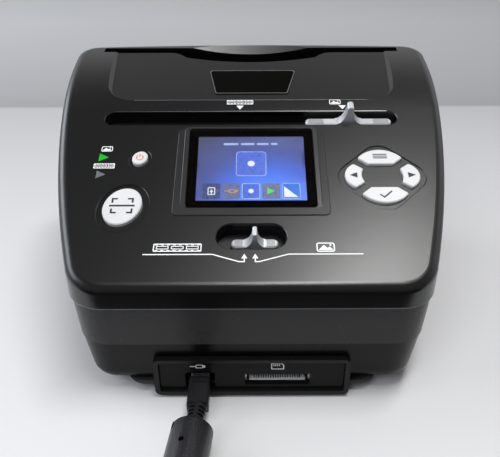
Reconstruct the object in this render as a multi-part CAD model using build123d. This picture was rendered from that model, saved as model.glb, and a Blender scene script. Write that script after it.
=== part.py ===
from build123d import *
import math
import os

# A desktop scanner for film and photo prints, with its USB lead.
# Lengths are in millimetres, angles in degrees. X is right, Y is back and Z is up for the user.
# The origin is on the floor under the middle of the housing.

# Housing seen from above
body_width = 190.6
body_depth = 158.0
front_y = -79.0
front_taper = 35.2
front_corner = 17.3
rear_corner = 12.0
rear_bow = 2.4
widest_margin = 27.3
front_edge = body_width - 2 * front_taper
rear_y = front_y + body_depth
widest_y = rear_y - widest_margin

# Housing seen from the side
parting_height = 50.0
front_height = 60.4
panel_slope = 22.6
panel_middle_y = 3.0
panel_end_y = 17.0
roof_radius = 215.0
rim_radius = 4.8
wall = 2.5
roof_wall = 3.0
slot_edge = 0.4
cover_edge = 0.4

# Lower case
seam_gap = 0.6
seam_inset = 0.9
crease_height = 29.5
crease_inset = 2.3
crease_step = 0.3
case_bottom = 4.6
case_bottom_inset = 6.2
case_bottom_radius = 8.0
case_inner_radius = 4.5
case_floor = 2.2
lip_height = 2.0
lip_depth = 5.0
lip_wall = 1.2

# Clearances and cut overrun
slip = 0.2
run_gap = 0.3
shaft_gap = 0.1
overrun = 6.0

# Base pan and feet
pan_bottom = 1.2
pan_front_margin = 4.5
pan_rear_margin = 10.0
pan_front_share = 0.5456
pan_share = 0.8185
pan_front_y = front_y + pan_front_margin
pan_front_width = body_width * pan_front_share
pan_width = body_width * pan_share
pan_flare_y = -33.0
pan_rear_y = rear_y - pan_rear_margin
pan_corner = 9.0
pan_flank = 5.5
pan_wall = 2.0
foot_radius = 5.5
foot_front_share = 0.18363
foot_rear_share = 0.3253
foot_rear_margin = 24.0
foot_front_x = body_width * foot_front_share
foot_front_y = -59.0
foot_rear_x = body_width * foot_rear_share
foot_rear_y = rear_y - foot_rear_margin

# Connector housing at the front foot
io_width = 85.4
io_top = 21.5
io_front_y = -78.0
io_rear_y = -42.0
io_corner = 3.0
io_rim = 2.2
io_roof = 1.7
io_inner_corner = 1.2
io_recess = 1.7
io_plate = 2.0
io_board_thick = 1.6
io_board_under = 4.5
io_board_margin = 2.0
io_board_front = 4.0
io_rib = 2.5
io_rib_share = 0.7

# USB socket and card socket
usb_x = -22.8
usb_socket_width = 7.9
usb_socket_tall = 4.4
usb_socket_deep = 9.0
usb_socket_wall = 0.4
usb_mouth_width = 13.0
usb_mouth_tall = 9.6
usb_mouth_corner = 1.5
card_x = 11.2
card_mouth_width = 28.4
card_mouth_tall = 6.1
card_socket_width = 30.0
card_socket_deep = 28.0
card_socket_wall = 0.9
card_slot_width = 27.2
card_slot_tall = 4.6
card_slot_deep = 24.0
card_sill = 0.3
contact_width = 0.9
contact_tall = 1.0
contact_out = 0.8
contact_count = 12
contact_spread_share = 0.86

# Screen
screen_v = -25.6
screen_proud = 1.45
screen_tilt = 2.36
bezel_share = 0.36
bezel_side = 5.5
bezel_tall = 51.8
bezel_v = -26.8
bezel_proud = 0.5
bezel_corner = 2.4
frame_side = 2.4
frame_end = 1.3
frame_edge = 0.7
window_tall = 46.1
window_thick = 1.5
window_corner = 1.6
bezel_ledge = 2.0
bezel_width = body_width * bezel_share
window_width = bezel_width - 2 * bezel_side
ledge_thick = 1.2
lcd_thick = 3.0
lcd_holder_wall = 3.0

# Main board under the panel
board_depth = 9.0
board_thick = 1.6
board_left_share = -0.3882
board_right_share = 0.4145
board_left_x = body_width * board_left_share
board_right_x = body_width * board_right_share
board_front_v = -53.0
board_rear_v = -9.8
post_radius = 2.5
post_margin = 3.0
switch_side = 6.0
switch_body = 2.6
switch_plunger = 0.9
switch_plunger_radius = 1.7

# Buttons
button_proud = 1.2
button_travel = 0.8
button_gap = 0.25
flange_out = 0.8
flange_thick = 1.4
stem_radius = 1.8
stem_spare = 0.1
button_edge = 0.4
scan_share = -0.2928
scan_x = body_width * scan_share
scan_v = -47.9
scan_across = 16.2
scan_long = 20.4
scan_ring_across = 21.8
scan_ring_long = 26.6
oval_tilt = -20.0
ring_depth = 0.7
power_share = -0.2676
power_x = body_width * power_share
power_v = -19.7
power_across = 6.9
power_long = 8.2
power_ring_across = 9.6
power_ring_long = 11.3

# Key pad
pad_place_share = 0.309
pad_across_share = 0.2046
pad_x = body_width * pad_place_share
pad_v = -30.8
pad_across = body_width * pad_across_share
pad_tall = 36.8
pad_corner = 8.0
pad_depth = 0.5
key_corner = 0.9
tall_key_tip_share = 0.853
tall_key_shoulder_shares = (0.523, 0.571)
tall_key_inner_shares = (0.297, 0.37)
side_key_tip_share = 0.862
side_key_shoulder_shares = (0.636, 0.375)
side_key_inner_shares = (0.42, 0.212)
side_key_hollow_share = 0.477

# Status light pipes
light_place_share = -0.3673
light_x = body_width * light_place_share
photo_light_v = -18.4
film_light_v = -28.9
light_long = 4.3
light_tall = 4.7
light_gap = 0.15
light_shoulder = 0.5

# Long slot and the film light's slider
light_slot_v = 7.2
light_slot_share = 0.743
light_slot_wide = 9.0
light_slider_long = 41.8
light_slider_wide = 4.4
light_slider_end = 2.4
slider_edge = 0.5
light_slot_long = body_width * light_slot_share
light_slider_x = (light_slot_long - light_slider_long) / 2 - light_slider_end
light_slider_depth = 2.4
light_slider_thick = 4.6
carriage_offset = 3.1921
light_travel = light_slider_x + carriage_offset
light_fin_base = 13.0
light_fin_top = 2.8
light_fin_tall = 9.9
light_fin_wide = 4.4
track_wall = 1.5
track_floor = 1.2
neck_long = 16.0
neck_wide = 3.0

# Short slot and the focus slider
focus_slot_v = -63.5
focus_slot_long = 29.7
focus_slot_wide = 12.9
focus_slider_long = 20.0
focus_slider_wide = 4.4
focus_slider_depth = 5.0
focus_slider_thick = 2.4
focus_travel = 4.5
focus_rest = 1.4
focus_fin_base = 8.6
focus_fin_top = 1.8
focus_fin_tall = 8.4
focus_fin_wide = 4.4
focus_neck_long = 6.0
focus_neck_wide = 3.0
fork_bottom = 59.3
fork_thick = 2.2
fork_front_y = -52.8
fork_width = 8.0
fork_slot = 3.4
fork_past_pin = 2.5

# Optical axis, along Y
axis_height = 48.0
sensor_y = -41.0
sensor_board_thick = 1.6
sensor_board_width = 30.0
sensor_board_below = 14.0
sensor_board_above = 10.4
mount_thick = 4.0
mount_width = 26.0
mount_above = 10.4
mount_foot_width = 36.0
mount_foot_deep = 22.0
mount_foot_thick = 3.0
barrel_radius = 8.0
barrel_long = 22.0
barrel_bore_radius = 6.2
lens_thick = 3.0
lens_setback = 1.0
ring_radius = 10.4
ring_wide = 6.0
ring_y = -29.0
pin_radius = 1.2
pin_end_height = 61.6

# Film gate, between the lens and the film light
film_front_y = -5.0
film_rear_y = 4.0
film_tall = 52.0
gate_plate = 2.0
gate_width = 92.0
gate_window_width = 41.0
gate_window_tall = 28.0
gate_leg = 8.0

# Film light carriage on its guide rod
carriage_front_y = 8.5
carriage_rear_y = 16.5
carriage_width = 50.0
carriage_top = 86.0
carriage_bottom = 29.5
carriage_foot_bottom = 21.5
glow_width = 46.0
glow_tall = 36.0
glow_rim = 2.0
diffuser_thick = 2.0
light_board_thick = 1.6
rod_radius = 2.0
rod_height = 25.5
rod_bracket_thick = 3.0
rod_bracket_wide = 8.0
rod_bracket_above = 3.5
rod_end_spare = 1.0

# Photo slot in the roof, with its guides and lamps
photo_slot_back = 8.0
photo_slot_wide = 5.0
photo_slot_margin = 14.8
photo_floor = 33.0
photo_guide_headroom = 5.99803
photo_guide_grip = 4.6
photo_guide_wall = 2.6
photo_guide_front = 7.0
photo_guide_leg = 3.2
photo_rear_y = rear_y - photo_slot_back
photo_front_y = photo_rear_y - photo_slot_wide
photo_slot_long = body_width - 2 * photo_slot_margin
notch_long = 88.0
notch_deep = 9.4
notch_shoulder = 9.0
dish_long = 64.0
dish_deep = 3.6
dish_back = 4.4
lip_bar_deep = 9.0
lip_bar_wide = 92.0
lamp_share = 0.3882
lamp_x = body_width * lamp_share
lamp_y = 24.0
lamp_wide = 8.0
lamp_deep = 6.0
lamp_top = 84.0

# Flat recess in the roof before the photo slot
recess_front_y = 22.3
recess_front_margin = 25.0
recess_rear_margin = 19.3
recess_corner = 12.0
recess_front_depth = 0.8
recess_flank = 45.0

# Screws that join the two case halves
boss_radius = 4.0
boss_bore = 1.5
boss_past_edge = 4.9
boss_front_y = -57.0
boss_side_margin = 12.2937
boss_rear_margin = 28.0
boss_front_x = front_edge / 2 + boss_past_edge
boss_rear_x = body_width / 2 - boss_side_margin
boss_rear_y = rear_y - boss_rear_margin
screw_radius = 1.4
screw_head_radius = 2.8
screw_head_tall = 2.0
screw_long = 50.0

# USB lead
plug_width = 9.2
plug_tall = 6.4
plug_long = 15.0
plug_corner = 1.3
plug_seat = 0.6
plug_panel_width = 5.6
plug_panel_long = 8.6
plug_panel_depth = 0.4
plug_panel_share = 0.5
plug_shell_width = 6.9
plug_shell_tall = 3.1
plug_shell_long = 7.0
relief_long = 8.0
relief_wide = 8.4
relief_tall = 6.2
relief_end = 6.0
relief_groove = 1.1
relief_groove_deep = 1.2
relief_groove_count = 3
relief_spine = 1.8
relief_groove_share = 0.72
cable_radius = 2.0
ferrite_radius = 8.6
ferrite_long = 27.0
ferrite_edge = 1.3
ferrite_start = 3.6
ferrite_bore_gap = 0.2
lead_lean = 5.7
coil_turns = 6.0
coil_middle_radius = 24.0
coil_pitch = 4.6
coil_layer = 4.6
coil_lift = 0.7
tie_wide = 7.0
tie_thick = 0.6
tie_gap = 0.1
tie_turn = 315.0
host_width = 16.0
host_tall = 8.4
host_long = 22.0
host_corner = 2.0
host_shell_width = 12.0
host_shell_tall = 4.5
host_shell_long = 18.5
host_lift = 0.2

corner_share = 0.45

# Routes of the lead's two free stretches on the floor, after their straight first runs
run_first = 57.0
run_points = [(6.8, -201.4), (34.8, -201.7)]
tail_first = 18.0
tail_points = [(80.0, -198.0), (98.0, -190.0)]

slope = math.radians(panel_slope)
panel_middle_height = front_height + (panel_middle_y - front_y) * math.tan(slope)
panel_end_height = front_height + (panel_end_y - front_y) * math.tan(slope)
panel = Plane(
    origin=(0, panel_middle_y, panel_middle_height),
    x_dir=(1, 0, 0),
    z_dir=(0, -math.sin(slope), math.cos(slope)),
)
screen = Plane(panel.location * Pos(0, screen_v, screen_proud) * Rot(screen_tilt, 0, 0))
floor_top = case_bottom + case_floor
film_bottom = axis_height - film_tall / 2
film_top = axis_height + film_tall / 2
io_board_top = io_board_under + io_board_thick
usb_height = io_board_top + usb_socket_tall / 2
panel_face_y = io_front_y + io_recess
panel_back_y = panel_face_y + io_plate
coil_height = cable_radius + coil_lift


def block(low, high):
    """A box between two corners."""
    size = [b - a for a, b in zip(low, high)]
    middle = [(a + b) / 2 for a, b in zip(low, high)]
    return Pos(*middle) * Box(*size)


def post(x, y, low, high, radius):
    """An upright cylinder."""
    return Pos(x, y, (low + high) / 2) * Cylinder(radius, high - low)


def along_y(x, z, front, rear, radius):
    """A cylinder that lies along Y."""
    return Pos(x, (front + rear) / 2, z) * Rot(90, 0, 0) * Cylinder(radius, rear - front)


def along_x(y, z, left, right, radius):
    """A cylinder that lies along X."""
    return Pos((left + right) / 2, y, z) * Rot(0, 90, 0) * Cylinder(radius, right - left)


def sunk(sketch, top, bottom):
    """A sketch on the panel, made a block between two depths below it."""
    return extrude(panel.offset(-bottom) * sketch, bottom - top)


def both_sides(shape):
    """A shape and its mirror image across the middle."""
    return [shape, mirror(shape, about=Plane.YZ)]


def plan(inset, height):
    """The housing's outline from above, drawn in by an inset, at a height."""
    half_front = front_edge / 2
    half_width = body_width / 2
    across = half_width - half_front
    back = widest_y - front_y - front_corner
    side_radius = (across**2 + back**2 - front_corner**2) / (2 * (across - front_corner))
    side_middle = Vector(half_width - side_radius, widest_y)
    corner_middle = Vector(half_front, front_y + front_corner)
    turn = (corner_middle - side_middle).normalized()
    turn_angle = math.atan2(turn.Y, turn.X)

    def around(middle, radius, angle):
        return middle + Vector(math.cos(angle), math.sin(angle)) * (radius - inset)

    front_end = around(corner_middle, front_corner, -math.pi / 2)
    corner_end = around(side_middle, side_radius, turn_angle)
    side_end = around(side_middle, side_radius, 0)
    rear_span = half_width - rear_corner
    rear_middle = Vector(rear_span, rear_y - rear_corner - rear_bow)
    rear_radius = (rear_span**2 + rear_bow**2) / (2 * rear_bow)
    rear_angle = math.atan2(rear_radius - rear_bow, rear_span)
    rear_start = around(rear_middle, rear_corner, 0)
    rear_end = around(rear_middle, rear_corner, rear_angle)
    corner_way = around(corner_middle, front_corner, (turn_angle - math.pi / 2) / 2)
    right = [
        ThreePointArc(front_end, corner_way, corner_end),
        ThreePointArc(corner_end, around(side_middle, side_radius, turn_angle / 2), side_end),
        Line(side_end, rear_start),
        ThreePointArc(rear_start, around(rear_middle, rear_corner, rear_angle / 2), rear_end),
    ]
    left = [mirror(edge, about=Plane.YZ) for edge in right]
    front = Line(front_end, Vector(-front_end.X, front_end.Y))
    rear = ThreePointArc(rear_end, Vector(0, rear_y - inset), Vector(-rear_end.X, rear_end.Y))
    return Pos(0, 0, height) * make_face([*right, *left, front, rear])


def under_roof(inset):
    """Everything below the panel and the curved roof, both drawn in by an inset."""
    normal = Vector(0, -math.sin(slope), math.cos(slope))
    along = Vector(0, math.cos(slope), math.sin(slope))
    bend = Vector(0, panel_end_y, panel_end_height)
    centre = bend - normal * roof_radius
    start = bend - normal * inset - along * (body_depth + panel_end_y)
    bend = bend - normal * inset
    top = centre + Vector(0, 0, roof_radius - inset)
    end = Vector(0, 2 * centre.Y - bend.Y, bend.Z)
    low = -body_depth
    edges = [
        Line(start, bend),
        ThreePointArc(bend, top, end),
        Line(end, Vector(0, end.Y, low)),
        Line(Vector(0, end.Y, low), Vector(0, start.Y, low)),
        Line(Vector(0, start.Y, low), start),
    ]
    return extrude(make_face(edges), body_width, dir=(1, 0, 0), both=True)


def roof_height(y):
    """How high the roof's outside is at a place behind the panel's end."""
    centre_y = panel_end_y + roof_radius * math.sin(slope)
    centre_z = panel_end_height - roof_radius * math.cos(slope)
    return centre_z + math.sqrt(roof_radius**2 - (y - centre_y) ** 2)


def dome(inset, roof_inset, low, radius):
    """The upper housing as a solid, with its rim rounded."""
    tall = roof_height(rear_y) + overrun - low
    solid = extrude(plan(inset, low), tall) & under_roof(roof_inset)
    top_faces = solid.faces().filter_by(lambda f: f.normal_at().Z > math.cos(2 * slope))
    seams = [edge for edge in top_faces.edges() if abs(edge.center().X) < shaft_gap]
    inner = [edge for edge in seams if abs(edge.center().Y - panel_end_y) < overrun]
    rim = [edge for edge in top_faces.edges() if edge not in inner]
    return fillet(rim, radius)


def stadium(long, wide, u, v):
    """A slot with round ends on the panel."""
    return Pos(u, v) * SlotOverall(long, wide)


def oval(across, long, u, v, extra):
    """A leaning oval on the panel, made wider all round by extra."""
    return Pos(u, v) * Rot(0, 0, oval_tilt) * Ellipse(across / 2 + extra, long / 2 + extra)


def key_shape(points, tip, hollow):
    """A key's outline: straight flanks, a bowed outer end and a straight or hollow inner end."""
    shoulder, inner = points
    inner_end = (
        ThreePointArc((-inner[0], inner[1]), (0, hollow), (inner[0], inner[1]))
        if hollow != inner[1]
        else Line((-inner[0], inner[1]), (inner[0], inner[1]))
    )
    edges = [
        inner_end,
        Line((inner[0], inner[1]), (shoulder[0], shoulder[1])),
        ThreePointArc((shoulder[0], shoulder[1]), (0, tip), (-shoulder[0], shoulder[1])),
        Line((-shoulder[0], shoulder[1]), (-inner[0], inner[1])),
    ]
    face = make_face(edges)
    return fillet(face.vertices(), key_corner)


def key_outlines():
    """The four keys of the pad, by name."""
    across = pad_across / 2
    tall = pad_tall / 2
    tall_shoulder = (tall_key_shoulder_shares[0] * across, tall_key_shoulder_shares[1] * tall)
    tall_inner = (tall_key_inner_shares[0] * across, tall_key_inner_shares[1] * tall)
    side_shoulder = (side_key_shoulder_shares[1] * tall, side_key_shoulder_shares[0] * across)
    side_inner = (side_key_inner_shares[1] * tall, side_key_inner_shares[0] * across)
    tall_key = key_shape((tall_shoulder, tall_inner), tall_key_tip_share * tall, tall_inner[1])
    side_key = key_shape(
        (side_shoulder, side_inner),
        side_key_tip_share * across,
        side_key_hollow_share * across,
    )
    place = Pos(pad_x, pad_v)
    return {
        "mode": place * tall_key,
        "enter": place * Rot(0, 0, 180) * tall_key,
        "left": place * Rot(0, 0, 90) * side_key,
        "right": place * Rot(0, 0, -90) * side_key,
    }


def grown(sketch, amount):
    """A sketch made larger all round."""
    return offset(sketch, amount, kind=Kind.ARC) if amount else sketch


def button_outlines(extra):
    """Every button's outline on the panel, by name, made larger all round by extra."""
    outlines = {name: grown(outline, extra) for name, outline in key_outlines().items()}
    outlines["scan"] = oval(scan_across, scan_long, scan_x, scan_v, extra)
    outlines["power"] = oval(power_across, power_long, power_x, power_v, extra)
    return outlines


def middle_of(sketch):
    """The middle of a sketch's box, on the panel."""
    box = sketch.bounding_box()
    return box.center().X, box.center().Y


def light_triangle(v, extra):
    """The outline of a status light, a triangle that points right."""
    points = [(0, light_tall / 2), (0, -light_tall / 2), (light_long, 0)]
    face = make_face(Polyline(*points, close=True))
    return grown(Pos(light_x, v) * face, extra)


def pad_outline():
    """The key pad's outline, a square on its tip with round corners."""
    tips = [(pad_across / 2, 0), (0, pad_tall / 2), (-pad_across / 2, 0), (0, -pad_tall / 2)]
    face = make_face(Polyline(*tips, close=True))
    # Rounding a tip draws it in, so the square starts larger by what the arc takes away.
    half_tip = math.atan2(pad_tall, pad_across)
    taken = pad_corner * (1 / math.sin(half_tip) - 1)
    factor = (pad_across / 2 + taken) / (pad_across / 2)
    return Pos(pad_x, pad_v) * fillet(scale(face, factor).vertices(), pad_corner)


def film_notch():
    """The way for a film holder from side to side."""
    reach = body_width
    return block((-reach, film_front_y, film_bottom), (reach, film_rear_y, film_top))


def bosses(low, high, radius):
    """Four upright posts where the case screws go."""
    places = [(boss_front_x, boss_front_y), (boss_rear_x, boss_rear_y)]
    return [
        post(side * x, y, low, high, radius)
        for x, y in places
        for side in (-1, 1)
    ]


def notch_sketch():
    """The finger notch in the photo slot's front edge, from above."""
    half = notch_long / 2
    waist = half - notch_shoulder
    shoulder_y = photo_front_y - notch_deep / 2
    deepest = photo_front_y - notch_deep
    curve = [
        Spline((-half, photo_front_y), (-waist, shoulder_y), tangents=((1, 0), (1, -1))),
        ThreePointArc((-waist, shoulder_y), (0, deepest), (waist, shoulder_y)),
        Spline((waist, shoulder_y), (half, photo_front_y), tangents=((1, 1), (1, 0))),
    ]
    middle_y = (photo_front_y + photo_rear_y) / 2
    closing = Polyline((half, photo_front_y), (half, middle_y), (-half, middle_y), (-half, photo_front_y))
    return make_face([*curve, *closing.edges()])


def panel_hollows(extra):
    """The outlines of the panel's slots and rings, made larger all round by extra."""
    return [
        stadium(light_slot_long + 2 * extra, light_slot_wide + 2 * extra, 0, light_slot_v),
        stadium(focus_slot_long + 2 * extra, focus_slot_wide + 2 * extra, 0, focus_slot_v),
        oval(scan_ring_across, scan_ring_long, scan_x, scan_v, extra),
        oval(power_ring_across, power_ring_long, power_x, power_v, extra),
        grown(pad_outline(), extra),
    ]


def frame_outline(extra):
    """The outline of the screen's raised frame, made larger all round by extra."""
    wide = window_width + 2 * (frame_side + extra)
    tall = window_tall + 2 * (frame_end + extra)
    return RectangleRounded(wide, tall, bezel_corner + extra)


def top_cover():
    low = parting_height
    shell = dome(0, 0, low, rim_radius)
    shell = chamfer(shell.faces().sort_by(Axis.Z)[0].edges(), cover_edge)
    cavity = dome(wall, roof_wall, low - overrun, rim_radius - wall)
    thick_lip = block(
        (-lip_bar_wide / 2, photo_rear_y, roof_height(photo_rear_y) - lip_bar_deep),
        (lip_bar_wide / 2, rear_y, roof_height(rear_y) + overrun),
    )
    cover = shell - (cavity - thick_lip)

    # Flat recess before the photo slot
    front_z = roof_height(recess_front_y) - recess_front_depth
    rise = roof_height(photo_rear_y) - front_z
    run = photo_rear_y - recess_front_y
    recess_floor = Plane(
        origin=(0, recess_front_y, front_z), x_dir=(1, 0, 0), z_dir=(0, -rise, run)
    )
    front_half = body_width / 2 - recess_front_margin
    rear_half = body_width / 2 - recess_rear_margin
    corners = [(-front_half, 0), (front_half, 0), (rear_half, 2 * run), (-rear_half, 2 * run)]
    recess = make_face(Polyline(*corners, close=True))
    recess = fillet(recess.vertices().sort_by(Axis.Y)[:2], recess_corner)
    behind = block(
        (-body_width, photo_rear_y, 0), (body_width, body_depth, 2 * body_depth)
    )
    cover -= extrude(recess_floor * recess, overrun, taper=-recess_flank) - behind

    # Photo slot, finger notch and the dish behind it
    slot_low = parting_height
    slot_high = roof_height(photo_rear_y) + overrun
    cover -= block(
        (-photo_slot_long / 2, photo_front_y, slot_low), (photo_slot_long / 2, photo_rear_y, slot_high)
    )
    cover -= extrude(Pos(0, 0, slot_low) * notch_sketch(), slot_high - slot_low)
    dish_rim = roof_height(photo_rear_y)
    dish_round = (dish_long**2 / 4 + dish_deep**2) / (2 * dish_deep)
    setback = (2 * dish_round * dish_deep - dish_back**2) / (2 * dish_back)
    dish_radius = math.hypot(dish_round, setback)
    dish_centre = (0, photo_rear_y - setback, dish_rim - dish_deep + dish_round)
    cover -= (Pos(*dish_centre) * Sphere(dish_radius)) & behind

    # Openings and recesses of the control panel
    below = roof_wall + overrun
    above_panel = -overrun
    cover -= extrude(screen.offset(overrun) * frame_outline(slip), -below - overrun)
    cover -= sunk(stadium(light_slot_long, light_slot_wide, 0, light_slot_v), above_panel, below)
    cover -= sunk(stadium(focus_slot_long, focus_slot_wide, 0, focus_slot_v), above_panel, below)
    cover -= sunk(oval(scan_ring_across, scan_ring_long, scan_x, scan_v, 0), above_panel, ring_depth)
    cover -= sunk(oval(power_ring_across, power_ring_long, power_x, power_v, 0), above_panel, ring_depth)
    cover -= sunk(pad_outline(), above_panel, pad_depth)
    for inner, outer in zip(panel_hollows(0), panel_hollows(2 * slot_edge)):
        cover -= loft([panel.offset(-slot_edge) * inner, panel.offset(slot_edge) * outer], ruled=True)
    for outline in button_outlines(button_gap).values():
        cover -= sunk(outline, above_panel, below)
    for v in (photo_light_v, film_light_v):
        cover -= sunk(light_triangle(v, light_gap), above_panel, below)

    cover -= film_notch()

    # Posts that carry the main board, and bosses for the case screws
    for u in (board_left_x + post_margin, board_right_x - post_margin):
        for v in (board_front_v + post_margin, board_rear_v - post_margin):
            cover += sunk(Pos(u, v) * Circle(post_radius), roof_wall - shaft_gap, board_depth)
    inside = dome(wall - shaft_gap, roof_wall - shaft_gap, low, rim_radius - wall)
    columns = bosses(low, body_depth, boss_radius)
    for column in columns:
        cover += column & inside
    screw_end = case_bottom + screw_long + slip
    for hole in bosses(low - overrun, screw_end, boss_bore):
        cover -= hole
    return cover


def lower_case():
    top = parting_height - seam_gap
    upper = loft([plan(seam_inset, top), plan(crease_inset, crease_height)], ruled=True)
    lower = loft(
        [
            plan(crease_inset + crease_step, crease_height),
            plan(case_bottom_inset, case_bottom),
        ],
        ruled=True,
    )
    lower = fillet(lower.faces().sort_by(Axis.Z)[0].edges(), case_bottom_radius)
    cavity = loft(
        [
            plan(seam_inset + wall, top),
            plan(crease_inset + crease_step + wall, crease_height),
            plan(case_bottom_inset + wall, floor_top),
        ],
        ruled=True,
    )
    cavity = fillet(cavity.faces().sort_by(Axis.Z)[0].edges(), case_inner_radius)
    lip_out = wall + slip
    lip = extrude(plan(lip_out, top - lip_depth), lip_depth + seam_gap + lip_height) - extrude(
        plan(lip_out + lip_wall, top - lip_depth), lip_depth + seam_gap + lip_height
    )
    shell = upper + lower - cavity + lip
    for column in bosses(floor_top - shaft_gap, parting_height, boss_radius):
        shell += column
    head_top = case_bottom + screw_head_tall
    for hole in bosses(0, parting_height + overrun, boss_bore):
        shell -= hole
    for hole in bosses(0, head_top, screw_head_radius + slip):
        shell -= hole
    shell -= film_notch()
    way = RectangleRounded(io_width + 2 * slip, 2 * (io_top + slip), io_corner + slip)
    shell -= extrude(Plane.XZ.offset(-io_rear_y - slip) * way, body_depth)
    return shell


def pan_outline(inset, height):
    """The base pan seen from above, drawn in by an inset."""
    half_front = pan_front_width / 2
    half = pan_width / 2
    corners = [
        (half_front, pan_front_y),
        (half, pan_flare_y),
        (half, pan_rear_y),
        (-half, pan_rear_y),
        (-half, pan_flare_y),
        (-half_front, pan_front_y),
    ]
    face = fillet(make_face(Polyline(*corners, close=True)).vertices(), pan_corner)
    face = offset(face, -inset, kind=Kind.INTERSECTION) if inset else face
    return Pos(0, 0, height) * face


def base_pan():
    slab = loft([pan_outline(0, case_bottom), pan_outline(pan_flank, pan_bottom)], ruled=True)
    hollow = loft(
        [
            pan_outline(pan_wall, case_bottom),
            pan_outline(pan_flank + pan_wall, pan_bottom + pan_wall),
        ],
        ruled=True,
    )
    seats = [
        post(side * x, y, pan_bottom, case_bottom, screw_head_radius + 2 * slip + pan_wall)
        for x, y in ((boss_front_x, boss_front_y), (boss_rear_x, boss_rear_y))
        for side in (-1, 1)
    ]
    shell = slab - hollow
    box_profile = Plane.XZ.offset(-io_front_y) * Pos(0, (pan_bottom + io_top) / 2)
    outer = RectangleRounded(io_width, io_top - pan_bottom, io_corner)
    box = extrude(box_profile * outer, -(io_rear_y - io_front_y))
    inner_low = pan_bottom + pan_wall
    inner_high = io_top - io_roof
    inner_width = io_width - 2 * io_rim
    bore_profile = Plane.XZ.offset(-io_front_y) * Pos(0, (inner_low + inner_high) / 2)
    bore = extrude(
        bore_profile * RectangleRounded(inner_width, inner_high - inner_low, io_inner_corner),
        -(io_rear_y - io_front_y) - overrun,
    )
    shell = shell + box - bore
    outside = pan_outline(0, pan_bottom)
    for seat in seats:
        shell += seat & extrude(outside, case_bottom - pan_bottom)
    for x, y in ((boss_front_x, boss_front_y), (boss_rear_x, boss_rear_y)):
        for side in (-1, 1):
            shell -= post(side * x, y, 0, case_bottom + overrun, screw_head_radius + 2 * slip)
    rib_x = io_rib_share * inner_width / 2
    for side in (-1, 1):
        shell += block(
            (side * rib_x - io_rib / 2, panel_back_y + io_board_front, pan_bottom + pan_wall - shaft_gap),
            (side * rib_x + io_rib / 2, io_rear_y - io_board_margin, io_board_under),
        )
    return shell


def feet():
    places = [(foot_front_x, foot_front_y), (foot_rear_x, foot_rear_y)]
    return [
        post(side * x, y, 0, pan_bottom, foot_radius)
        for x, y in places
        for side in (-1, 1)
    ]


def case_screws():
    return [
        head + shaft
        for head, shaft in zip(
            bosses(case_bottom, case_bottom + screw_head_tall, screw_head_radius),
            bosses(case_bottom, case_bottom + screw_long, screw_radius),
        )
    ]


def io_panel():
    low = pan_bottom + pan_wall
    high = io_top - io_roof
    width = io_width - 2 * io_rim
    front = Plane.XZ.offset(-panel_face_y)
    plate = extrude(
        front * Pos(0, (low + high) / 2) * RectangleRounded(
            width - 2 * shaft_gap, high - low - 2 * shaft_gap, io_inner_corner
        ),
        -io_plate,
    )
    usb = front * Pos(usb_x, usb_height) * RectangleRounded(
        usb_mouth_width, usb_mouth_tall, usb_mouth_corner
    )
    card = front * Pos(card_x, io_board_top + card_mouth_tall / 2 - card_sill) * Rectangle(
        card_mouth_width, card_mouth_tall
    )
    for mouth in (usb, card):
        plate -= extrude(mouth, -2 * io_plate, both=True)
    return plate


def io_board():
    half = io_width / 2 - io_rim - io_board_margin
    return block(
        (-half, panel_back_y + slip, io_board_under), (half, io_rear_y - io_board_margin, io_board_top)
    )


def usb_socket():
    front = panel_back_y + slip
    half = usb_socket_width / 2
    shell = block(
        (usb_x - half, front, io_board_top),
        (usb_x + half, front + usb_socket_deep, io_board_top + usb_socket_tall),
    )
    rim = usb_socket_wall
    bore = block(
        (usb_x - half + rim, front - overrun, io_board_top + rim),
        (usb_x + half - rim, front + usb_socket_deep - rim, io_board_top + usb_socket_tall - rim),
    )
    return shell - bore


def card_socket():
    front = panel_back_y + slip
    half = card_socket_width / 2
    slot_low = io_board_top + card_sill
    top = slot_low + card_slot_tall + card_socket_wall
    shell = block(
        (card_x - half, front, io_board_top), (card_x + half, front + card_socket_deep, top)
    )
    slot = block(
        (card_x - card_slot_width / 2, front - overrun, slot_low),
        (card_x + card_slot_width / 2, front + card_slot_deep, slot_low + card_slot_tall),
    )
    return shell - slot


def card_contacts():
    front = panel_back_y + slip
    slot_top = io_board_top + card_sill + card_slot_tall
    spread = contact_spread_share * card_slot_width
    step = spread / (contact_count - 1)
    first = card_x - spread / 2
    low = slot_top + card_socket_wall - contact_tall
    return [
        block(
            (first + i * step - contact_width / 2, front - contact_out, low),
            (first + i * step + contact_width / 2, front, low + contact_tall),
        )
        for i in range(contact_count)
    ]


def lcd_bezel():
    """A thin plate on the panel, with the raised frame that holds the window."""
    plate = sunk(Pos(0, bezel_v) * RectangleRounded(bezel_width, bezel_tall, bezel_corner), -bezel_proud, 0)
    plate = chamfer(
        plate.faces().sort_by(Axis((0, 0, 0), panel.z_dir))[-1].outer_wire().edges(), bezel_proud / 2
    )
    frame = extrude(screen * frame_outline(0), -window_thick - ledge_thick)
    crown = frame.faces().sort_by(Axis((0, 0, 0), screen.z_dir))[-1]
    frame = plate + fillet(crown.outer_wire().edges(), frame_edge)
    frame -= extrude(screen.offset(overrun) * window_outline(shaft_gap), -window_thick - overrun)
    inner = Rectangle(window_width - 2 * bezel_ledge, window_tall - 2 * bezel_ledge)
    return frame - extrude(screen * inner, -window_thick - ledge_thick - overrun)


def window_outline(extra):
    """The screen window's outline, made larger all round by extra."""
    wide = window_width + 2 * extra
    return RectangleRounded(wide, window_tall + 2 * extra, window_corner + extra)


def lcd_window():
    return extrude(screen * window_outline(0), -window_thick)


def lcd_panel():
    shrink = 2 * (bezel_ledge + slip)
    face = Rectangle(window_width - shrink, window_tall - shrink)
    return extrude(screen.offset(-window_thick) * face, -lcd_thick)


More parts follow.
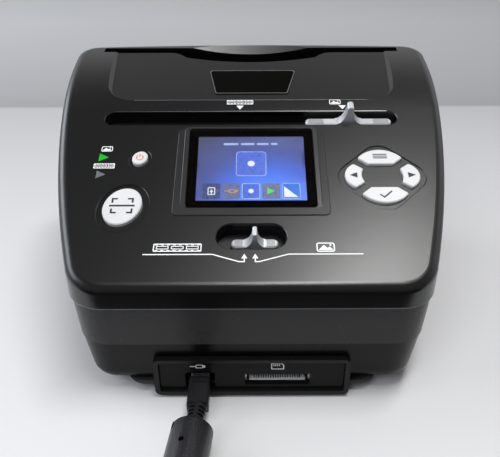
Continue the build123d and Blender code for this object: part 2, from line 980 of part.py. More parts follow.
def lcd_holder():
    shrink = 2 * (bezel_ledge + slip)
    outer = Rectangle(window_width - shrink, window_tall - shrink)
    inner = Rectangle(
        window_width - shrink - 2 * lcd_holder_wall, window_tall - shrink - 2 * lcd_holder_wall
    )
    ring = sunk(Pos(0, screen_v) * (outer - inner), -overrun, board_depth)
    above = extrude(
        screen.offset(-window_thick - lcd_thick) * Rectangle(body_width, body_depth), body_depth
    )
    return ring - above


def main_board():
    width = board_right_x - board_left_x
    tall = board_rear_v - board_front_v
    middle = Pos((board_left_x + board_right_x) / 2, (board_front_v + board_rear_v) / 2)
    return sunk(middle * Rectangle(width, tall), board_depth, board_depth + board_thick)


def tact_switches():
    switches = []
    body_top = board_depth - switch_body
    for outline in button_outlines(0).values():
        place = Pos(*middle_of(outline))
        body = sunk(place * Rectangle(switch_side, switch_side), body_top, board_depth)
        plunger = sunk(place * Circle(switch_plunger_radius), body_top - switch_plunger, body_top)
        switches.append(body + plunger)
    return switches


def button(outline, flange_outline):
    """A button cap with its flange under the panel and the stem over its switch."""
    stem_end = board_depth - switch_body - switch_plunger - button_travel - stem_spare
    cap = sunk(outline, -button_proud, roof_wall)
    top = cap.faces().sort_by(Axis((0, 0, 0), panel.z_dir))[-1]
    cap = chamfer(top.outer_wire().edges(), button_edge)
    flange = sunk(flange_outline, roof_wall, roof_wall + flange_thick)
    stem = sunk(Pos(*middle_of(outline)) * Circle(stem_radius), roof_wall, stem_end)
    return cap + flange + stem


def light_pipe(v):
    """A status light's triangular pipe, from the board to the panel's face, with its shoulder."""
    pipe = sunk(light_triangle(v, 0), 0, board_depth)
    shoulder = sunk(light_triangle(v, light_shoulder), roof_wall, roof_wall + flange_thick)
    return pipe + shoulder


def slider(long, wide, u, v, depth, thick, base, top, tall, fin_wide):
    """A slider: a bar with round ends and a fin with hollow flanks in its middle."""
    bar = sunk(stadium(long, wide, u, v), depth, depth + thick)
    top_face = bar.faces().sort_by(Axis((0, 0, 0), panel.z_dir))[-1]
    bar = chamfer(top_face.outer_wire().edges(), slider_edge)
    flank = (base - top) / 2
    right = EllipticalCenterArc((base / 2, tall), flank, tall, start_angle=180, arc_size=90)
    left = mirror(right, about=Plane.YZ)
    crown = ThreePointArc((-top / 2, tall), (0, tall + top / 4), (top / 2, tall))
    foot = Polyline((base / 2, 0), (base / 2, -thick / 2), (-base / 2, -thick / 2), (-base / 2, 0))
    profile = make_face([right, crown, left, *foot.edges()])
    upright = Plane(
        origin=panel.offset(-depth).from_local_coords(Vector(u, v - fin_wide / 2, 0)),
        x_dir=(1, 0, 0),
        z_dir=panel.y_dir * -1,
    )
    fin = extrude(upright * profile, -fin_wide)
    return bar + fin


def light_slider():
    return slider(
        light_slider_long, light_slider_wide, light_slider_x, light_slot_v, light_slider_depth,
        light_slider_thick, light_fin_base, light_fin_top, light_fin_tall, light_fin_wide,
    )


def focus_slider():
    return slider(
        focus_slider_long, focus_slider_wide, focus_rest, focus_slot_v, focus_slider_depth,
        focus_slider_thick, focus_fin_base, focus_fin_top, focus_fin_tall, focus_fin_wide,
    )


def track(long, wide, v, inner_bottom, slot_from, slot_to, slot_wide):
    """A trough under a slot of the panel, with a narrow slot in its floor for the slider's neck."""
    outer = stadium(long + 2 * track_wall, wide + 2 * track_wall, 0, v)
    inner = stadium(long, wide, 0, v)
    trough = sunk(outer, roof_wall, inner_bottom + track_floor) - sunk(inner, 0, inner_bottom)
    way = Pos((slot_from + slot_to) / 2, v) * Rectangle(slot_to - slot_from, slot_wide)
    return trough - sunk(way, 0, inner_bottom + track_floor + overrun)


def light_track():
    bottom = light_slider_depth + light_slider_thick + slip
    ends = neck_long / 2 + 2 * run_gap
    return track(
        light_slot_long, light_slot_wide, light_slot_v, bottom,
        light_slider_x - light_travel - ends, light_slider_x + ends, neck_wide + 2 * run_gap,
    )


def focus_track():
    bottom = focus_slider_depth + focus_slider_thick + slip
    ends = focus_neck_long / 2 + 2 * run_gap
    return track(
        focus_slot_long, focus_slot_wide, focus_slot_v, bottom,
        -focus_travel / 2 - ends, focus_travel / 2 + ends, focus_neck_wide + 2 * run_gap,
    )


def glow_window(width, tall, front, rear):
    """A box round the optical axis at the carriage's place."""
    middle = light_travel
    return block(
        (middle - width / 2, front, axis_height - tall / 2),
        (middle + width / 2, rear, axis_height + tall / 2),
    )


def backlight_carriage():
    middle = light_travel
    half = carriage_width / 2
    frame = block(
        (middle - half, carriage_front_y, carriage_bottom), (middle + half, carriage_rear_y, carriage_top)
    )
    foot = block(
        (middle - half, carriage_front_y, carriage_foot_bottom),
        (middle + half, carriage_rear_y, carriage_bottom),
    )
    rod_y = (carriage_front_y + carriage_rear_y) / 2
    frame = frame + foot
    reach = carriage_width
    frame -= along_x(rod_y, rod_height, middle - reach, middle + reach, rod_radius + shaft_gap)
    narrow_width = glow_width - 2 * glow_rim
    narrow_tall = glow_tall - 2 * glow_rim
    frame -= glow_window(narrow_width, narrow_tall, carriage_front_y, carriage_rear_y)
    frame -= glow_window(glow_width, glow_tall, carriage_front_y, carriage_front_y + diffuser_thick)
    frame -= glow_window(glow_width, glow_tall, carriage_rear_y - light_board_thick, carriage_rear_y)
    neck_top = light_slider_depth + light_slider_thick
    neck_v = light_slot_v
    neck_end = neck_top + (panel_middle_height + neck_v * math.sin(slope) - carriage_top)
    neck = sunk(Pos(light_slider_x, neck_v) * Rectangle(neck_long, neck_wide), neck_top, neck_end)
    return frame + neck


def backlight_diffuser():
    return glow_window(
        glow_width - 2 * shaft_gap, glow_tall - 2 * shaft_gap,
        carriage_front_y, carriage_front_y + diffuser_thick,
    )


def backlight_board():
    return glow_window(
        glow_width - 2 * shaft_gap, glow_tall - 2 * shaft_gap,
        carriage_rear_y - light_board_thick, carriage_rear_y,
    )


def rod_ends():
    """Where the guide rod's two brackets stand, from the carriage's travel."""
    middle = light_travel
    half = carriage_width / 2
    left = middle - light_travel - half - rod_end_spare
    right = middle + half + rod_end_spare
    return left, right


def guide_rod():
    left, right = rod_ends()
    rod_y = (carriage_front_y + carriage_rear_y) / 2
    return along_x(
        rod_y, rod_height, left - rod_bracket_thick, right + rod_bracket_thick, rod_radius
    )


def rod_brackets():
    left, right = rod_ends()
    rod_y = (carriage_front_y + carriage_rear_y) / 2
    brackets = []
    for low in (left - rod_bracket_thick, right):
        high = low + rod_bracket_thick
        plate = block(
            (low, rod_y - rod_bracket_wide / 2, floor_top),
            (high, rod_y + rod_bracket_wide / 2, rod_height + rod_bracket_above),
        )
        bore = along_x(rod_y, rod_height, low - overrun, high + overrun, rod_radius + shaft_gap)
        brackets.append(plate - bore)
    return brackets


def focus_fork():
    neck_top = focus_slider_depth + focus_slider_thick
    slot_height = panel_middle_height + focus_slot_v * math.sin(slope)
    neck_end = (slot_height - fork_bottom) / math.cos(slope)
    middle = focus_rest
    neck = sunk(
        Pos(middle, focus_slot_v) * Rectangle(focus_neck_long, focus_neck_wide), neck_top, neck_end
    )
    rear = ring_y + pin_radius + fork_past_pin
    half = fork_width / 2
    fork_top = fork_bottom + fork_thick
    arm = block((middle - half, fork_front_y, fork_bottom), (middle + half, rear, fork_top))
    arm += neck
    arm -= block(
        (middle - half, fork_front_y - overrun, 0), (middle + half, rear, fork_bottom)
    )
    slot_front = ring_y - pin_radius - fork_past_pin
    return arm - block(
        (middle - fork_slot / 2, slot_front, fork_bottom - overrun),
        (middle + fork_slot / 2, rear + overrun, fork_top + overrun),
    )


def focus_ring():
    front = ring_y - ring_wide / 2
    rear = ring_y + ring_wide / 2
    ring = along_y(0, axis_height, front, rear, ring_radius)
    engage = fork_bottom + fork_thick / 2 - axis_height
    lean = math.degrees(math.atan2(focus_rest, engage))
    pin_long = pin_end_height - axis_height
    pin = Pos(0, ring_y, pin_long / 2) * Cylinder(pin_radius, pin_long)
    ring += Pos(0, 0, axis_height) * Rot(0, lean, 0) * pin
    return ring - along_y(0, axis_height, front - overrun, rear + overrun, barrel_radius + shaft_gap)


def lens_barrel():
    rear = sensor_y + barrel_long
    barrel = along_y(0, axis_height, sensor_y, rear, barrel_radius)
    collar_end = ring_y - ring_wide / 2 - run_gap
    collar_start = sensor_y + mount_thick
    barrel += along_y(0, axis_height, collar_start, collar_end, ring_radius)
    stop = ring_y + ring_wide / 2 + run_gap
    barrel += along_y(0, axis_height, stop, rear, barrel_radius + lens_setback)
    return barrel - along_y(0, axis_height, sensor_y - overrun, rear + overrun, barrel_bore_radius)


def lens_glass():
    rear = sensor_y + barrel_long - lens_setback
    disc = along_y(0, axis_height, rear - lens_thick, rear, barrel_bore_radius)
    crown = disc.faces().sort_by(Axis.Y)[-1].edges()
    return chamfer(crown, lens_setback / 2)


def lens_mount():
    half = mount_width / 2
    rear = sensor_y + mount_thick
    plate = block((-half, sensor_y, floor_top), (half, rear, axis_height + mount_above))
    foot_half = mount_foot_width / 2
    foot = block(
        (-foot_half, sensor_y, floor_top),
        (foot_half, sensor_y + mount_foot_deep, floor_top + mount_foot_thick),
    )
    rib_rear = sensor_y + mount_foot_deep
    rib_points = [
        (0, rear, floor_top + mount_foot_thick),
        (0, rib_rear, floor_top + mount_foot_thick),
        (0, rear, axis_height - ring_radius - mount_thick),
    ]
    rib = extrude(
        make_face(Polyline(*rib_points, close=True)), mount_thick / 2, dir=(1, 0, 0), both=True
    )
    bore = along_y(0, axis_height, sensor_y - overrun, rear + overrun, barrel_radius + shaft_gap)
    return plate + foot + rib - bore


def sensor_board():
    half = sensor_board_width / 2
    return block(
        (-half, sensor_y - sensor_board_thick, axis_height - sensor_board_below),
        (half, sensor_y, axis_height + sensor_board_above),
    )


def film_gate():
    half = gate_width / 2
    front = film_front_y - gate_plate
    rear = film_rear_y + gate_plate
    low = film_bottom - gate_plate
    high = film_top + gate_plate
    channel = block((-half, front, low), (half, rear, high)) - film_notch()
    window = block(
        (-gate_window_width / 2, front - overrun, axis_height - gate_window_tall / 2),
        (gate_window_width / 2, rear + overrun, axis_height + gate_window_tall / 2),
    )
    channel -= window
    for side in (-1, 1):
        inner, outer = sorted((side * half, side * (half - gate_leg)))
        channel += block((inner, front, floor_top), (outer, rear, low))
    return channel


def photo_guide(side):
    """A guide for a photo holder's edge, on a leg clear of the case's sloping rear wall."""
    outer = photo_slot_long / 2 + photo_guide_wall
    inner = photo_slot_long / 2 - photo_guide_grip
    front = photo_front_y - photo_guide_front
    top = roof_height(front) - photo_guide_headroom
    over_lip = parting_height + lip_height + run_gap
    guide = block((inner, front, floor_top), (outer, photo_rear_y, top))
    guide += block((inner, front, over_lip), (outer, photo_rear_y + photo_guide_wall, top))
    guide -= block(
        (inner - overrun, photo_front_y, photo_floor),
        (photo_slot_long / 2, photo_rear_y, top + overrun),
    )
    guide -= block(
        (inner - overrun, front + photo_guide_leg, 0),
        (outer + overrun, rear_y, photo_floor - photo_guide_wall),
    )
    return guide if side > 0 else mirror(guide, about=Plane.YZ)


def photo_lamp(side):
    middle = side * lamp_x
    return block(
        (middle - lamp_wide / 2, lamp_y - lamp_deep / 2, floor_top),
        (middle + lamp_wide / 2, lamp_y + lamp_deep / 2, lamp_top),
    )


# The lead leaves its plug along this line, a little to the left of straight out.
lean = math.radians(lead_lean)
lead_way = Vector(-math.sin(lean), -math.cos(lean), 0)
plug_front_y = panel_face_y - plug_seat
plug_back = Vector(usb_x, plug_front_y - plug_long, usb_height)
lead_start = plug_back + lead_way * relief_long


def upright_across(point, way):
    """A plane across a level way, with its own Y up."""
    return Plane(origin=point, x_dir=Vector(0, 0, 1).cross(way), z_dir=way)


def usb_plug():
    start = upright_across(Vector(usb_x, plug_front_y, usb_height), Vector(0, -1, 0))
    body = extrude(start * RectangleRounded(plug_width, plug_tall, plug_corner), plug_long)
    top = usb_height + plug_tall / 2
    panel_y = plug_front_y - plug_long * plug_panel_share
    body -= block(
        (usb_x - plug_panel_width / 2, panel_y - plug_panel_long / 2, top - plug_panel_depth),
        (usb_x + plug_panel_width / 2, panel_y + plug_panel_long / 2, top + overrun),
    )
    root = upright_across(plug_back, Vector(0, -1, 0))
    tip = upright_across(lead_start, lead_way)
    relief = loft([root * Ellipse(relief_wide / 2, relief_tall / 2), tip * Circle(relief_end / 2)])
    step = relief_groove_share * relief_long / relief_groove_count
    for i in range(relief_groove_count):
        place = plug_back + lead_way * (step * (i + 1))
        ring = Plane(origin=place, x_dir=Vector(0, 0, 1).cross(lead_way), z_dir=lead_way)
        deep = relief_end / 2 - relief_groove_deep
        cut = Circle(relief_wide) - Circle(deep + relief_groove)
        cut -= Rectangle(relief_spine, 2 * relief_wide)
        relief -= extrude(ring * cut, relief_groove / 2, both=True)
    return body + relief


def usb_plug_shell():
    half = plug_shell_width / 2
    tall = plug_shell_tall / 2
    return block(
        (usb_x - half, plug_front_y, usb_height - tall),
        (usb_x + half, plug_front_y + plug_shell_long, usb_height + tall),
    )


def ferrite():
    start = upright_across(lead_start + lead_way * ferrite_start, lead_way)
    body = extrude(start * Circle(ferrite_radius), ferrite_long)
    ends = body.edges().filter_by(GeomType.CIRCLE)
    body = fillet(ends, ferrite_edge)
    bore = extrude(start * Circle(cable_radius + ferrite_bore_gap), ferrite_long)
    return body - bore


def tube(path, start, way):
    """A round cable along a path."""
    return sweep(upright_across(start, way) * Circle(cable_radius), path=path)


def route(points, name):
    """A line through a route's points with each corner as wide an arc as its runs allow."""
    runs = [(b - a).length for a, b in zip(points, points[1:])]
    radii = []
    for i in range(1, len(points) - 1):
        turn = (points[i] - points[i - 1]).get_angle(points[i + 1] - points[i])
        shorter = min(runs[i - 1], runs[i])
        radii.append(corner_share * shorter / math.tan(math.radians(turn / 2)))
    print(name, "runs", [round(r, 1) for r in runs], "radii", [round(r, 1) for r in radii])
    return FilletPolyline(*points, radius=radii)


def biarc(start, start_way, end, end_way):
    """Two arcs that join two points smoothly, leaving and arriving in given directions."""
    gap = end - start
    ways = start_way + end_way
    square = ways.dot(ways) - 4
    linear = -2 * gap.dot(ways)
    reach = (-linear - math.sqrt(linear**2 - 4 * square * gap.dot(gap))) / (2 * square)
    first = start + start_way * reach
    last = end - end_way * reach
    middle = (first + last) / 2
    return [
        Edge.make_tangent_arc(start, start_way, middle),
        Edge.make_tangent_arc(middle, last - first, end),
    ]


def coil_frame():
    """The coil's outer radius, the angle where it starts, and its middle."""
    from_point, to_point = [Vector(*p, coil_height) for p in run_points]
    way = (to_point - from_point).normalized()
    start = to_point + way * 2 * cable_radius
    rate = coil_pitch / (2 * math.pi)
    outer = coil_middle_radius + rate * math.pi * coil_turns / 2
    turned = math.atan2(way.Y, way.X) - math.pi / 2 - math.atan2(rate, outer)
    middle = start - Vector(math.cos(turned), math.sin(turned), 0) * outer
    return outer, turned, middle


def coil_point(angle):
    """A place on the coil and its direction, by the angle turned since its start."""
    outer, start_turn, centre = coil_frame()
    half = math.pi * coil_turns
    rate = coil_pitch / (2 * math.pi)
    radius = outer - rate * half + rate * abs(angle - half)
    grow = math.copysign(rate, angle - half)
    turned = start_turn + angle
    climb = Vector(0, 0, coil_layer if angle > half else 0)
    out = Vector(math.cos(turned), math.sin(turned), 0)
    around = Vector(-math.sin(turned), math.cos(turned), 0)
    return centre + climb + out * radius, (around * radius + out * grow).normalized()


def coil_edges():
    """The coil's line: in along the lower layer, up in the middle half turn, and out again."""
    whole = 2 * math.pi * coil_turns
    before_climb = whole / 2 - math.pi / 2
    steps = math.ceil(before_climb / math.pi)
    angles = [before_climb * i / steps for i in range(steps + 1)]
    angles += [whole - angle for angle in reversed(angles)]
    stations = [coil_point(angle) for angle in angles]
    edges = []
    for (start, start_way), (end, end_way) in zip(stations, stations[1:]):
        edges += biarc(start, start_way, end, end_way)
    first, first_way = stations[0]
    last, last_way = stations[-1]
    straight = 2 * cable_radius
    lead_in = Edge.make_line(first - first_way * straight, first)
    lead_out = Edge.make_line(last, last + last_way * straight)
    return [lead_in, *edges, lead_out]


def least_gap(edges):
    """The least gap of a cable to itself, along a line, from points on it."""
    samples = 16
    points = [edge @ (i / samples) for edge in edges for i in range(samples)]
    far = [0.0]
    for a, b in zip(points, points[1:]):
        far.append(far[-1] + (b - a).length)
    apart = 4 * math.pi * cable_radius
    return min(
        (a - b).length - 2 * cable_radius
        for i, a in enumerate(points)
        for j, b in enumerate(points[:i])
        if far[i] - far[j] > apart
    )


coil_line = coil_edges()
coil_start = coil_line[0] @ 0
coil_start_way = coil_line[0] % 0
coil_end = coil_line[-1] @ 1
coil_end_way = coil_line[-1] % 1


def cable_run():
    first = lead_start + lead_way * run_first
    points = [lead_start, first, *[Vector(*p, coil_height) for p in run_points]]
    return tube(route(points, "cable run"), lead_start, lead_way)


def cable_coil():
    print("coil least gap", round(least_gap(coil_line), 2))
    print("coil length", round(sum(edge.length for edge in coil_line)))
    return tube(Wire(coil_line), coil_start, coil_start_way)


def coil_tie():
    centre = coil_frame()[2]
    reach = coil_pitch * coil_turns / 4 + coil_pitch / 2
    inner_wide = 2 * (reach + cable_radius + tie_gap)
    low = coil_lift - tie_gap
    high = coil_lift + 2 * cable_radius + coil_layer + tie_gap
    turn = math.radians(tie_turn)
    out = Vector(math.cos(turn), math.sin(turn), 0)
    middle = Vector(centre.X, centre.Y, (low + high) / 2) + out * coil_middle_radius
    across = Plane(origin=middle, x_dir=out, z_dir=out.cross(Vector(0, 0, 1)))
    tall = high - low
    band = Rectangle(inner_wide + 2 * tie_thick, tall + 2 * tie_thick) - Rectangle(inner_wide, tall)
    return extrude(across * band, tie_wide / 2, both=True)


def tail_route():
    """The tail's points: level off the coil, down to the far plug's height, and level into it."""
    host_height = host_lift + host_tall / 2
    first = coil_end + coil_end_way * tail_first
    return [coil_end, first, *[Vector(*p, host_height) for p in tail_points]]


def cable_tail():
    return tube(route(tail_route(), "cable tail"), coil_end, coil_end_way)


def host_plane():
    points = tail_route()
    return points[-1], (points[-1] - points[-2]).normalized()


def host_plug():
    start, way = host_plane()
    profile = RectangleRounded(host_width, host_tall, host_corner)
    return extrude(upright_across(start, way) * profile, host_long)


def host_plug_shell():
    start, way = host_plane()
    profile = Rectangle(host_shell_width, host_shell_tall)
    return extrude(upright_across(start + way * host_long, way) * profile, host_shell_long)


def build():
    """Every node of the part, by name."""
    nodes = {
        "top_cover": top_cover(),
        "lower_case": lower_case(),
        "base_pan": base_pan(),
        "io_panel": io_panel(),
        "feet": feet(),
        "case_screws": case_screws(),
        "lcd_bezel": lcd_bezel(),
        "lcd_window": lcd_window(),
        "lcd_panel": lcd_panel(),
        "lcd_holder": lcd_holder(),
        "main_board": main_board(),
        "tact_switches": tact_switches(),
        "photo_light_pipe": light_pipe(photo_light_v),
        "film_light_pipe": light_pipe(film_light_v),
        "light_track": light_track(),
        "light_slider": light_slider(),
        "backlight_carriage": backlight_carriage(),
        "backlight_diffuser": backlight_diffuser(),
        "backlight_board": backlight_board(),
        "guide_rod": guide_rod(),
        "rod_brackets": rod_brackets(),
        "focus_track": focus_track(),
        "focus_slider": focus_slider(),
        "focus_fork": focus_fork(),
        "focus_ring": focus_ring(),
        "lens_barrel": lens_barrel(),
        "lens_glass": lens_glass(),
        "lens_mount": lens_mount(),
        "sensor_board": sensor_board(),
        "film_gate": film_gate(),
        "photo_guide_left": photo_guide(-1),
        "photo_guide_right": photo_guide(1),
        "photo_lamp_left": photo_lamp(-1),
        "photo_lamp_right": photo_lamp(1),
        "io_board": io_board(),
        "usb_socket": usb_socket(),
        "card_socket": card_socket(),
        "card_contacts": card_contacts(),
        "usb_plug": usb_plug(),
        "usb_plug_shell": usb_plug_shell(),
        "ferrite": ferrite(),
        "cable_run": cable_run(),
        "cable_coil": cable_coil(),
        "coil_tie": coil_tie(),
        "cable_tail": cable_tail(),
        "host_plug": host_plug(),
        "host_plug_shell": host_plug_shell(),
    }
    flanges = button_outlines(flange_out)
    for name, outline in button_outlines(0).items():
        nodes[f"{name}_button"] = button(outline, flanges[name])
    return nodes


def main():
    os.makedirs("parts", exist_ok=True)
    for name, shape in build().items():
        solids = shape if isinstance(shape, list) else [shape]
        export_step(Compound(children=[Part() + solid for solid in solids]), f"parts/{name}.step")


main()
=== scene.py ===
import bmesh
import bpy
import math
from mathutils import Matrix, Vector


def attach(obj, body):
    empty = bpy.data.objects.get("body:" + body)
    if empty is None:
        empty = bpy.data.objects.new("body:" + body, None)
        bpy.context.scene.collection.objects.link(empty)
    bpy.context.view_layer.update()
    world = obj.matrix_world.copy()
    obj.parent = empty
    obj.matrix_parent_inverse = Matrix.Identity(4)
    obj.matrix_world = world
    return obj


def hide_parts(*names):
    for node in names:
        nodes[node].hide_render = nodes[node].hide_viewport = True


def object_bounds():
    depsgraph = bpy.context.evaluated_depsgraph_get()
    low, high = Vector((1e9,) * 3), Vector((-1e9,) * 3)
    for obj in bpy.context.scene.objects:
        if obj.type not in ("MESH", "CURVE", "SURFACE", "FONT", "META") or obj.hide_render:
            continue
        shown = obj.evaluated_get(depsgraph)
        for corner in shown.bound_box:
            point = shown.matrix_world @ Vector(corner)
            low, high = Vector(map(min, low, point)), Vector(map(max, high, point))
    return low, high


# A desktop scanner for film and photo prints, dressed over its CAD frame.
# Sizes here are in millimetres until a mesh is made, and the scene is in metres.

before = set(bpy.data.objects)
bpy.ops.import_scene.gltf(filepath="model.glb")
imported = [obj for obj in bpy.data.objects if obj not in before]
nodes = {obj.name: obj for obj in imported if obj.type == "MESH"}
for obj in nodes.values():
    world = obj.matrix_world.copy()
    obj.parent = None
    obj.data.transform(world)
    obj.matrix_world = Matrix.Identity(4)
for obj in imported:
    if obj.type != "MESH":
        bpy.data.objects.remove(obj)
cad_low, cad_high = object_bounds()
scene = bpy.context.scene
METRE = 0.001

# Housing
front_y = -79.0
front_height = 60.4
parting_height = 50.0
crease_height = 29.5
crease_blend = 0.3
connector_half = 43.3
connector_blend = 0.3
panel_slope = math.radians(22.6)
panel_middle_y = 3.0
panel_end_y = 17.0
roof_radius = 215.0
recess_front_y = 22.3
recess_front_depth = 0.8
recess_front_half = 58.0
recess_rim_radius = 0.15
photo_rear_y = 71.0

# Screen
screen_v = -25.6
screen_proud = 1.45
screen_tilt = math.radians(2.36)
glow_place = (8.0, -22.0)
glow_reach = 50.0
display_width = 48.9
display_tall = 37.2
window_width = 57.6
window_tall = 46.1
window_corner = 1.6
window_thick = 1.5

# Controls on the panel
button_proud = 1.2
scan_place = (-55.8, -47.9)
power_place = (-51.0, -19.7)
pad_place = (58.9, -30.8)
light_slider_x = 47.508
light_slot_v = 7.2
light_slot_wide = 9.0
light_slot_long = 141.6
slot_rim_radius = 0.2
light_slider_depth = 2.4
light_slider_long = 41.8
focus_slot_v = -63.5
focus_slider_x = 1.4
focus_slider_depth = 5.0
focus_slider_long = 20.0
grip_step = 1.0
grip_dot_radius = 0.30
grip_end = 1.6
grip_rows = 4

# Cover's foot, and the film path through the sides
lip_radius = 0.3
lip_height = parting_height + 0.05
lip_outline_height = parting_height + 0.8
film_front_y = -5.5
film_rear_y = 4.5
film_side_x = 80.0

# Connector panel
io_face_y = -76.3
usb_x = -22.8
card_x = 11.2
card_floor_z = 6.4
pin_count = 20
pin_step = 1.08
pin_size = (0.45, 2.2, 0.06)
pin_row = (-10.3, 4.6, 0.08)
card_plate_depth = 4.2
card_plate_size = (24.8, 4.0)

# Screw heads under the case
screw_places = [(65.0, -57.0), (-65.0, -57.0), (83.0, 51.0), (-83.0, 51.0)]
screw_face_z = 4.6
screw_arm = (2.6, 0.6, 0.1)

# Lead
cable_radius = 2.0
lead_exit = (-23.595, -99.860, 8.3)
lead_route = [
    lead_exit,
    (-26.972, -133.692, 8.3),
    (-29.256, -156.578, 8.3),
    (6.8, -201.4, 2.7),
    (34.8, -201.7, 2.7),
]
tail_route = [(60.763, -203.02, 7.3), (80.0, -198.0, 4.4), (98.0, -190.0, 4.4)]
coil_centre = (39.863, -170.861)
coil_start_turn = math.radians(-91.971)
coil_turns = 6.0
coil_middle_radius = 24.0
coil_pitch = 4.6
coil_low = 2.7
coil_layer = 4.6
coil_points_a_turn = 24
lead_lean = math.radians(5.7)
ferrite_start = 3.6
ferrite_radius = 8.6
ferrite_hole = (-1.9, ferrite_start + 11.9)
ferrite_hole_radius = 1.1
ferrite_slit = (-8.9, ferrite_start + 2.4)
ferrite_slit_size = (1.7, 3.2)
ferrite_slit_corner = 0.5
groove_radius = 2.9
groove_places = (-6.08, -4.16, -2.24)
groove_start = 0.95
groove_end = 4.2
groove_wide = 0.95
groove_steps = 6

# Printed ink
ink_thick = 0.06

# Floor and the black card on it, in metres
floor_half = 3.0
floor_tones_from = -0.3
floor_tones_to = 1.2
dark_card_front = -0.95
dark_card_rear = -0.130
dark_card_half = 0.8
dark_card_rise = 0.0003


def panel_point(u, v, rise):
    """A place on the sloping panel: u to the right, v up the slope and rise off the face."""
    middle = front_height + (panel_middle_y - front_y) * math.tan(panel_slope)
    y = panel_middle_y + v * math.cos(panel_slope) - rise * math.sin(panel_slope)
    z = middle + v * math.sin(panel_slope) + rise * math.cos(panel_slope)
    return Vector((u, y, z))


def roof_height(y):
    """The roof's height: the panel's slope, then an arc that carries on from it."""
    end = front_height + (panel_end_y - front_y) * math.tan(panel_slope)
    if y <= panel_end_y:
        return end + (y - panel_end_y) * math.tan(panel_slope)
    centre_y = panel_end_y + roof_radius * math.sin(panel_slope)
    centre_z = end - roof_radius * math.cos(panel_slope)
    return centre_z + math.sqrt(roof_radius**2 - (y - centre_y) ** 2)


def recess_point(u, y, rise):
    """A place on the flat recess before the photo slot."""
    low = roof_height(recess_front_y) - recess_front_depth
    run = photo_rear_y - recess_front_y
    pitch = (roof_height(photo_rear_y) - low) / run
    normal = Vector((0, -pitch, 1)).normalized()
    return Vector((u, y, low + (y - recess_front_y) * pitch)) + normal * rise


def screen_point(u, v, rise):
    """A place on the display under the window, which leans back from the panel."""
    depth = rise - window_thick
    along = v * math.cos(screen_tilt) - depth * math.sin(screen_tilt)
    off = v * math.sin(screen_tilt) + depth * math.cos(screen_tilt)
    return panel_point(u, screen_v + along, screen_proud + off)


def button_point(u, v, rise):
    """A place on the face of a button."""
    return panel_point(u, v, button_proud + rise)


def front_point(u, v, rise):
    """A place on the connector panel's face, with v as the height."""
    return Vector((u, io_face_y - rise, v))


# Camera

camera_data = bpy.data.cameras.new("camera")
camera_data.sensor_fit = "HORIZONTAL"
camera_data.sensor_width = 36.0
camera_data.lens = 44.64
camera_data.shift_x = -0.0028
camera = bpy.data.objects.new("camera", camera_data)
camera.location = Vector((0.0, -276.0, 206.3)) * METRE
camera.rotation_mode = "ZYX"
camera.rotation_euler = (math.radians(59.0), 0.0, math.radians(-0.2))
scene.collection.objects.link(camera)
scene.camera = camera
scene.view_settings.view_transform = "Standard"


# Materials


class NodeTree:
    """A tree of nodes under construction."""

    def __init__(self, tree):
        self.tree = tree

    def add(self, kind, **settings):
        made = self.tree.nodes.new(kind)
        for key, value in settings.items():
            setattr(made, key, value)
        return made

    def link(self, source, target):
        self.tree.links.new(source, target)

    def part(self, vector, axis):
        """One of a vector's three parts."""
        made = self.add("ShaderNodeSeparateXYZ")
        self.link(vector, made.inputs["Vector"])
        return made.outputs[axis]

    def remap(self, value, low, high, from_low=0.3, from_high=0.7):
        made = self.add("ShaderNodeMapRange")
        made.inputs["From Min"].default_value = from_low
        made.inputs["From Max"].default_value = from_high
        made.inputs["To Min"].default_value = low
        made.inputs["To Max"].default_value = high
        self.link(value, made.inputs["Value"])
        return made.outputs["Result"]

    def ramp(self, value, stops):
        """Colours along a value, from stops that are each a place and a colour."""
        made = self.add("ShaderNodeValToRGB")
        elements = made.color_ramp.elements
        while len(elements) < len(stops):
            elements.new(0.5)
        for element, (place, colour) in zip(elements, stops):
            element.position = place
            element.color = (*colour, 1.0)
        self.link(value, made.inputs["Fac"])
        return made.outputs["Color"]


class Finish(NodeTree):
    """A material under construction, with its shader and its coordinates."""

    def __init__(self, name):
        self.material = bpy.data.materials.new(name)
        self.material.use_nodes = True
        super().__init__(self.material.node_tree)
        self.shader = self.tree.nodes["Principled BSDF"]
        self.coordinates = self.add("ShaderNodeTexCoord").outputs["Object"]

    def set(self, **values):
        """Sets constant shader sockets by name, with _ for each space."""
        for key, value in values.items():
            self.shader.inputs[key.replace("_", " ")].default_value = value

    def along(self, axis):
        """How far along one axis a place is, in metres."""
        return self.part(self.coordinates, axis)

    def stretched(self, scale, turn):
        mapping = self.add("ShaderNodeMapping")
        mapping.inputs["Scale"].default_value = scale
        mapping.inputs["Rotation"].default_value = turn
        self.link(self.coordinates, mapping.inputs["Vector"])
        return mapping.outputs["Vector"]

    def noise(self, size, detail, vector=None):
        """Noise with blobs of about that size in millimetres."""
        made = self.add("ShaderNodeTexNoise")
        made.inputs["Scale"].default_value = 1.0 / (size * METRE)
        made.inputs["Detail"].default_value = detail
        self.link(vector or self.coordinates, made.inputs["Vector"])
        return made.outputs["Fac"]

    def cells(self, size, vector):
        made = self.add("ShaderNodeTexVoronoi")
        made.inputs["Scale"].default_value = 1.0 / (size * METRE)
        self.link(vector, made.inputs["Vector"])
        return made.outputs["Distance"]

    def colour(self, output):
        self.link(output, self.shader.inputs["Base Color"])

    def rough(self, output):
        self.link(output, self.shader.inputs["Roughness"])

    def bump(self, height, depth):
        """Bumps of that depth in millimetres."""
        made = self.add("ShaderNodeBump")
        made.inputs["Distance"].default_value = depth * METRE
        made.inputs["Strength"].default_value = 1.0
        self.link(height, made.inputs["Height"])
        self.link(made.outputs["Normal"], self.shader.inputs["Normal"])


def shade(colour, factor):
    return tuple(min(1.0, part * factor) for part in colour)


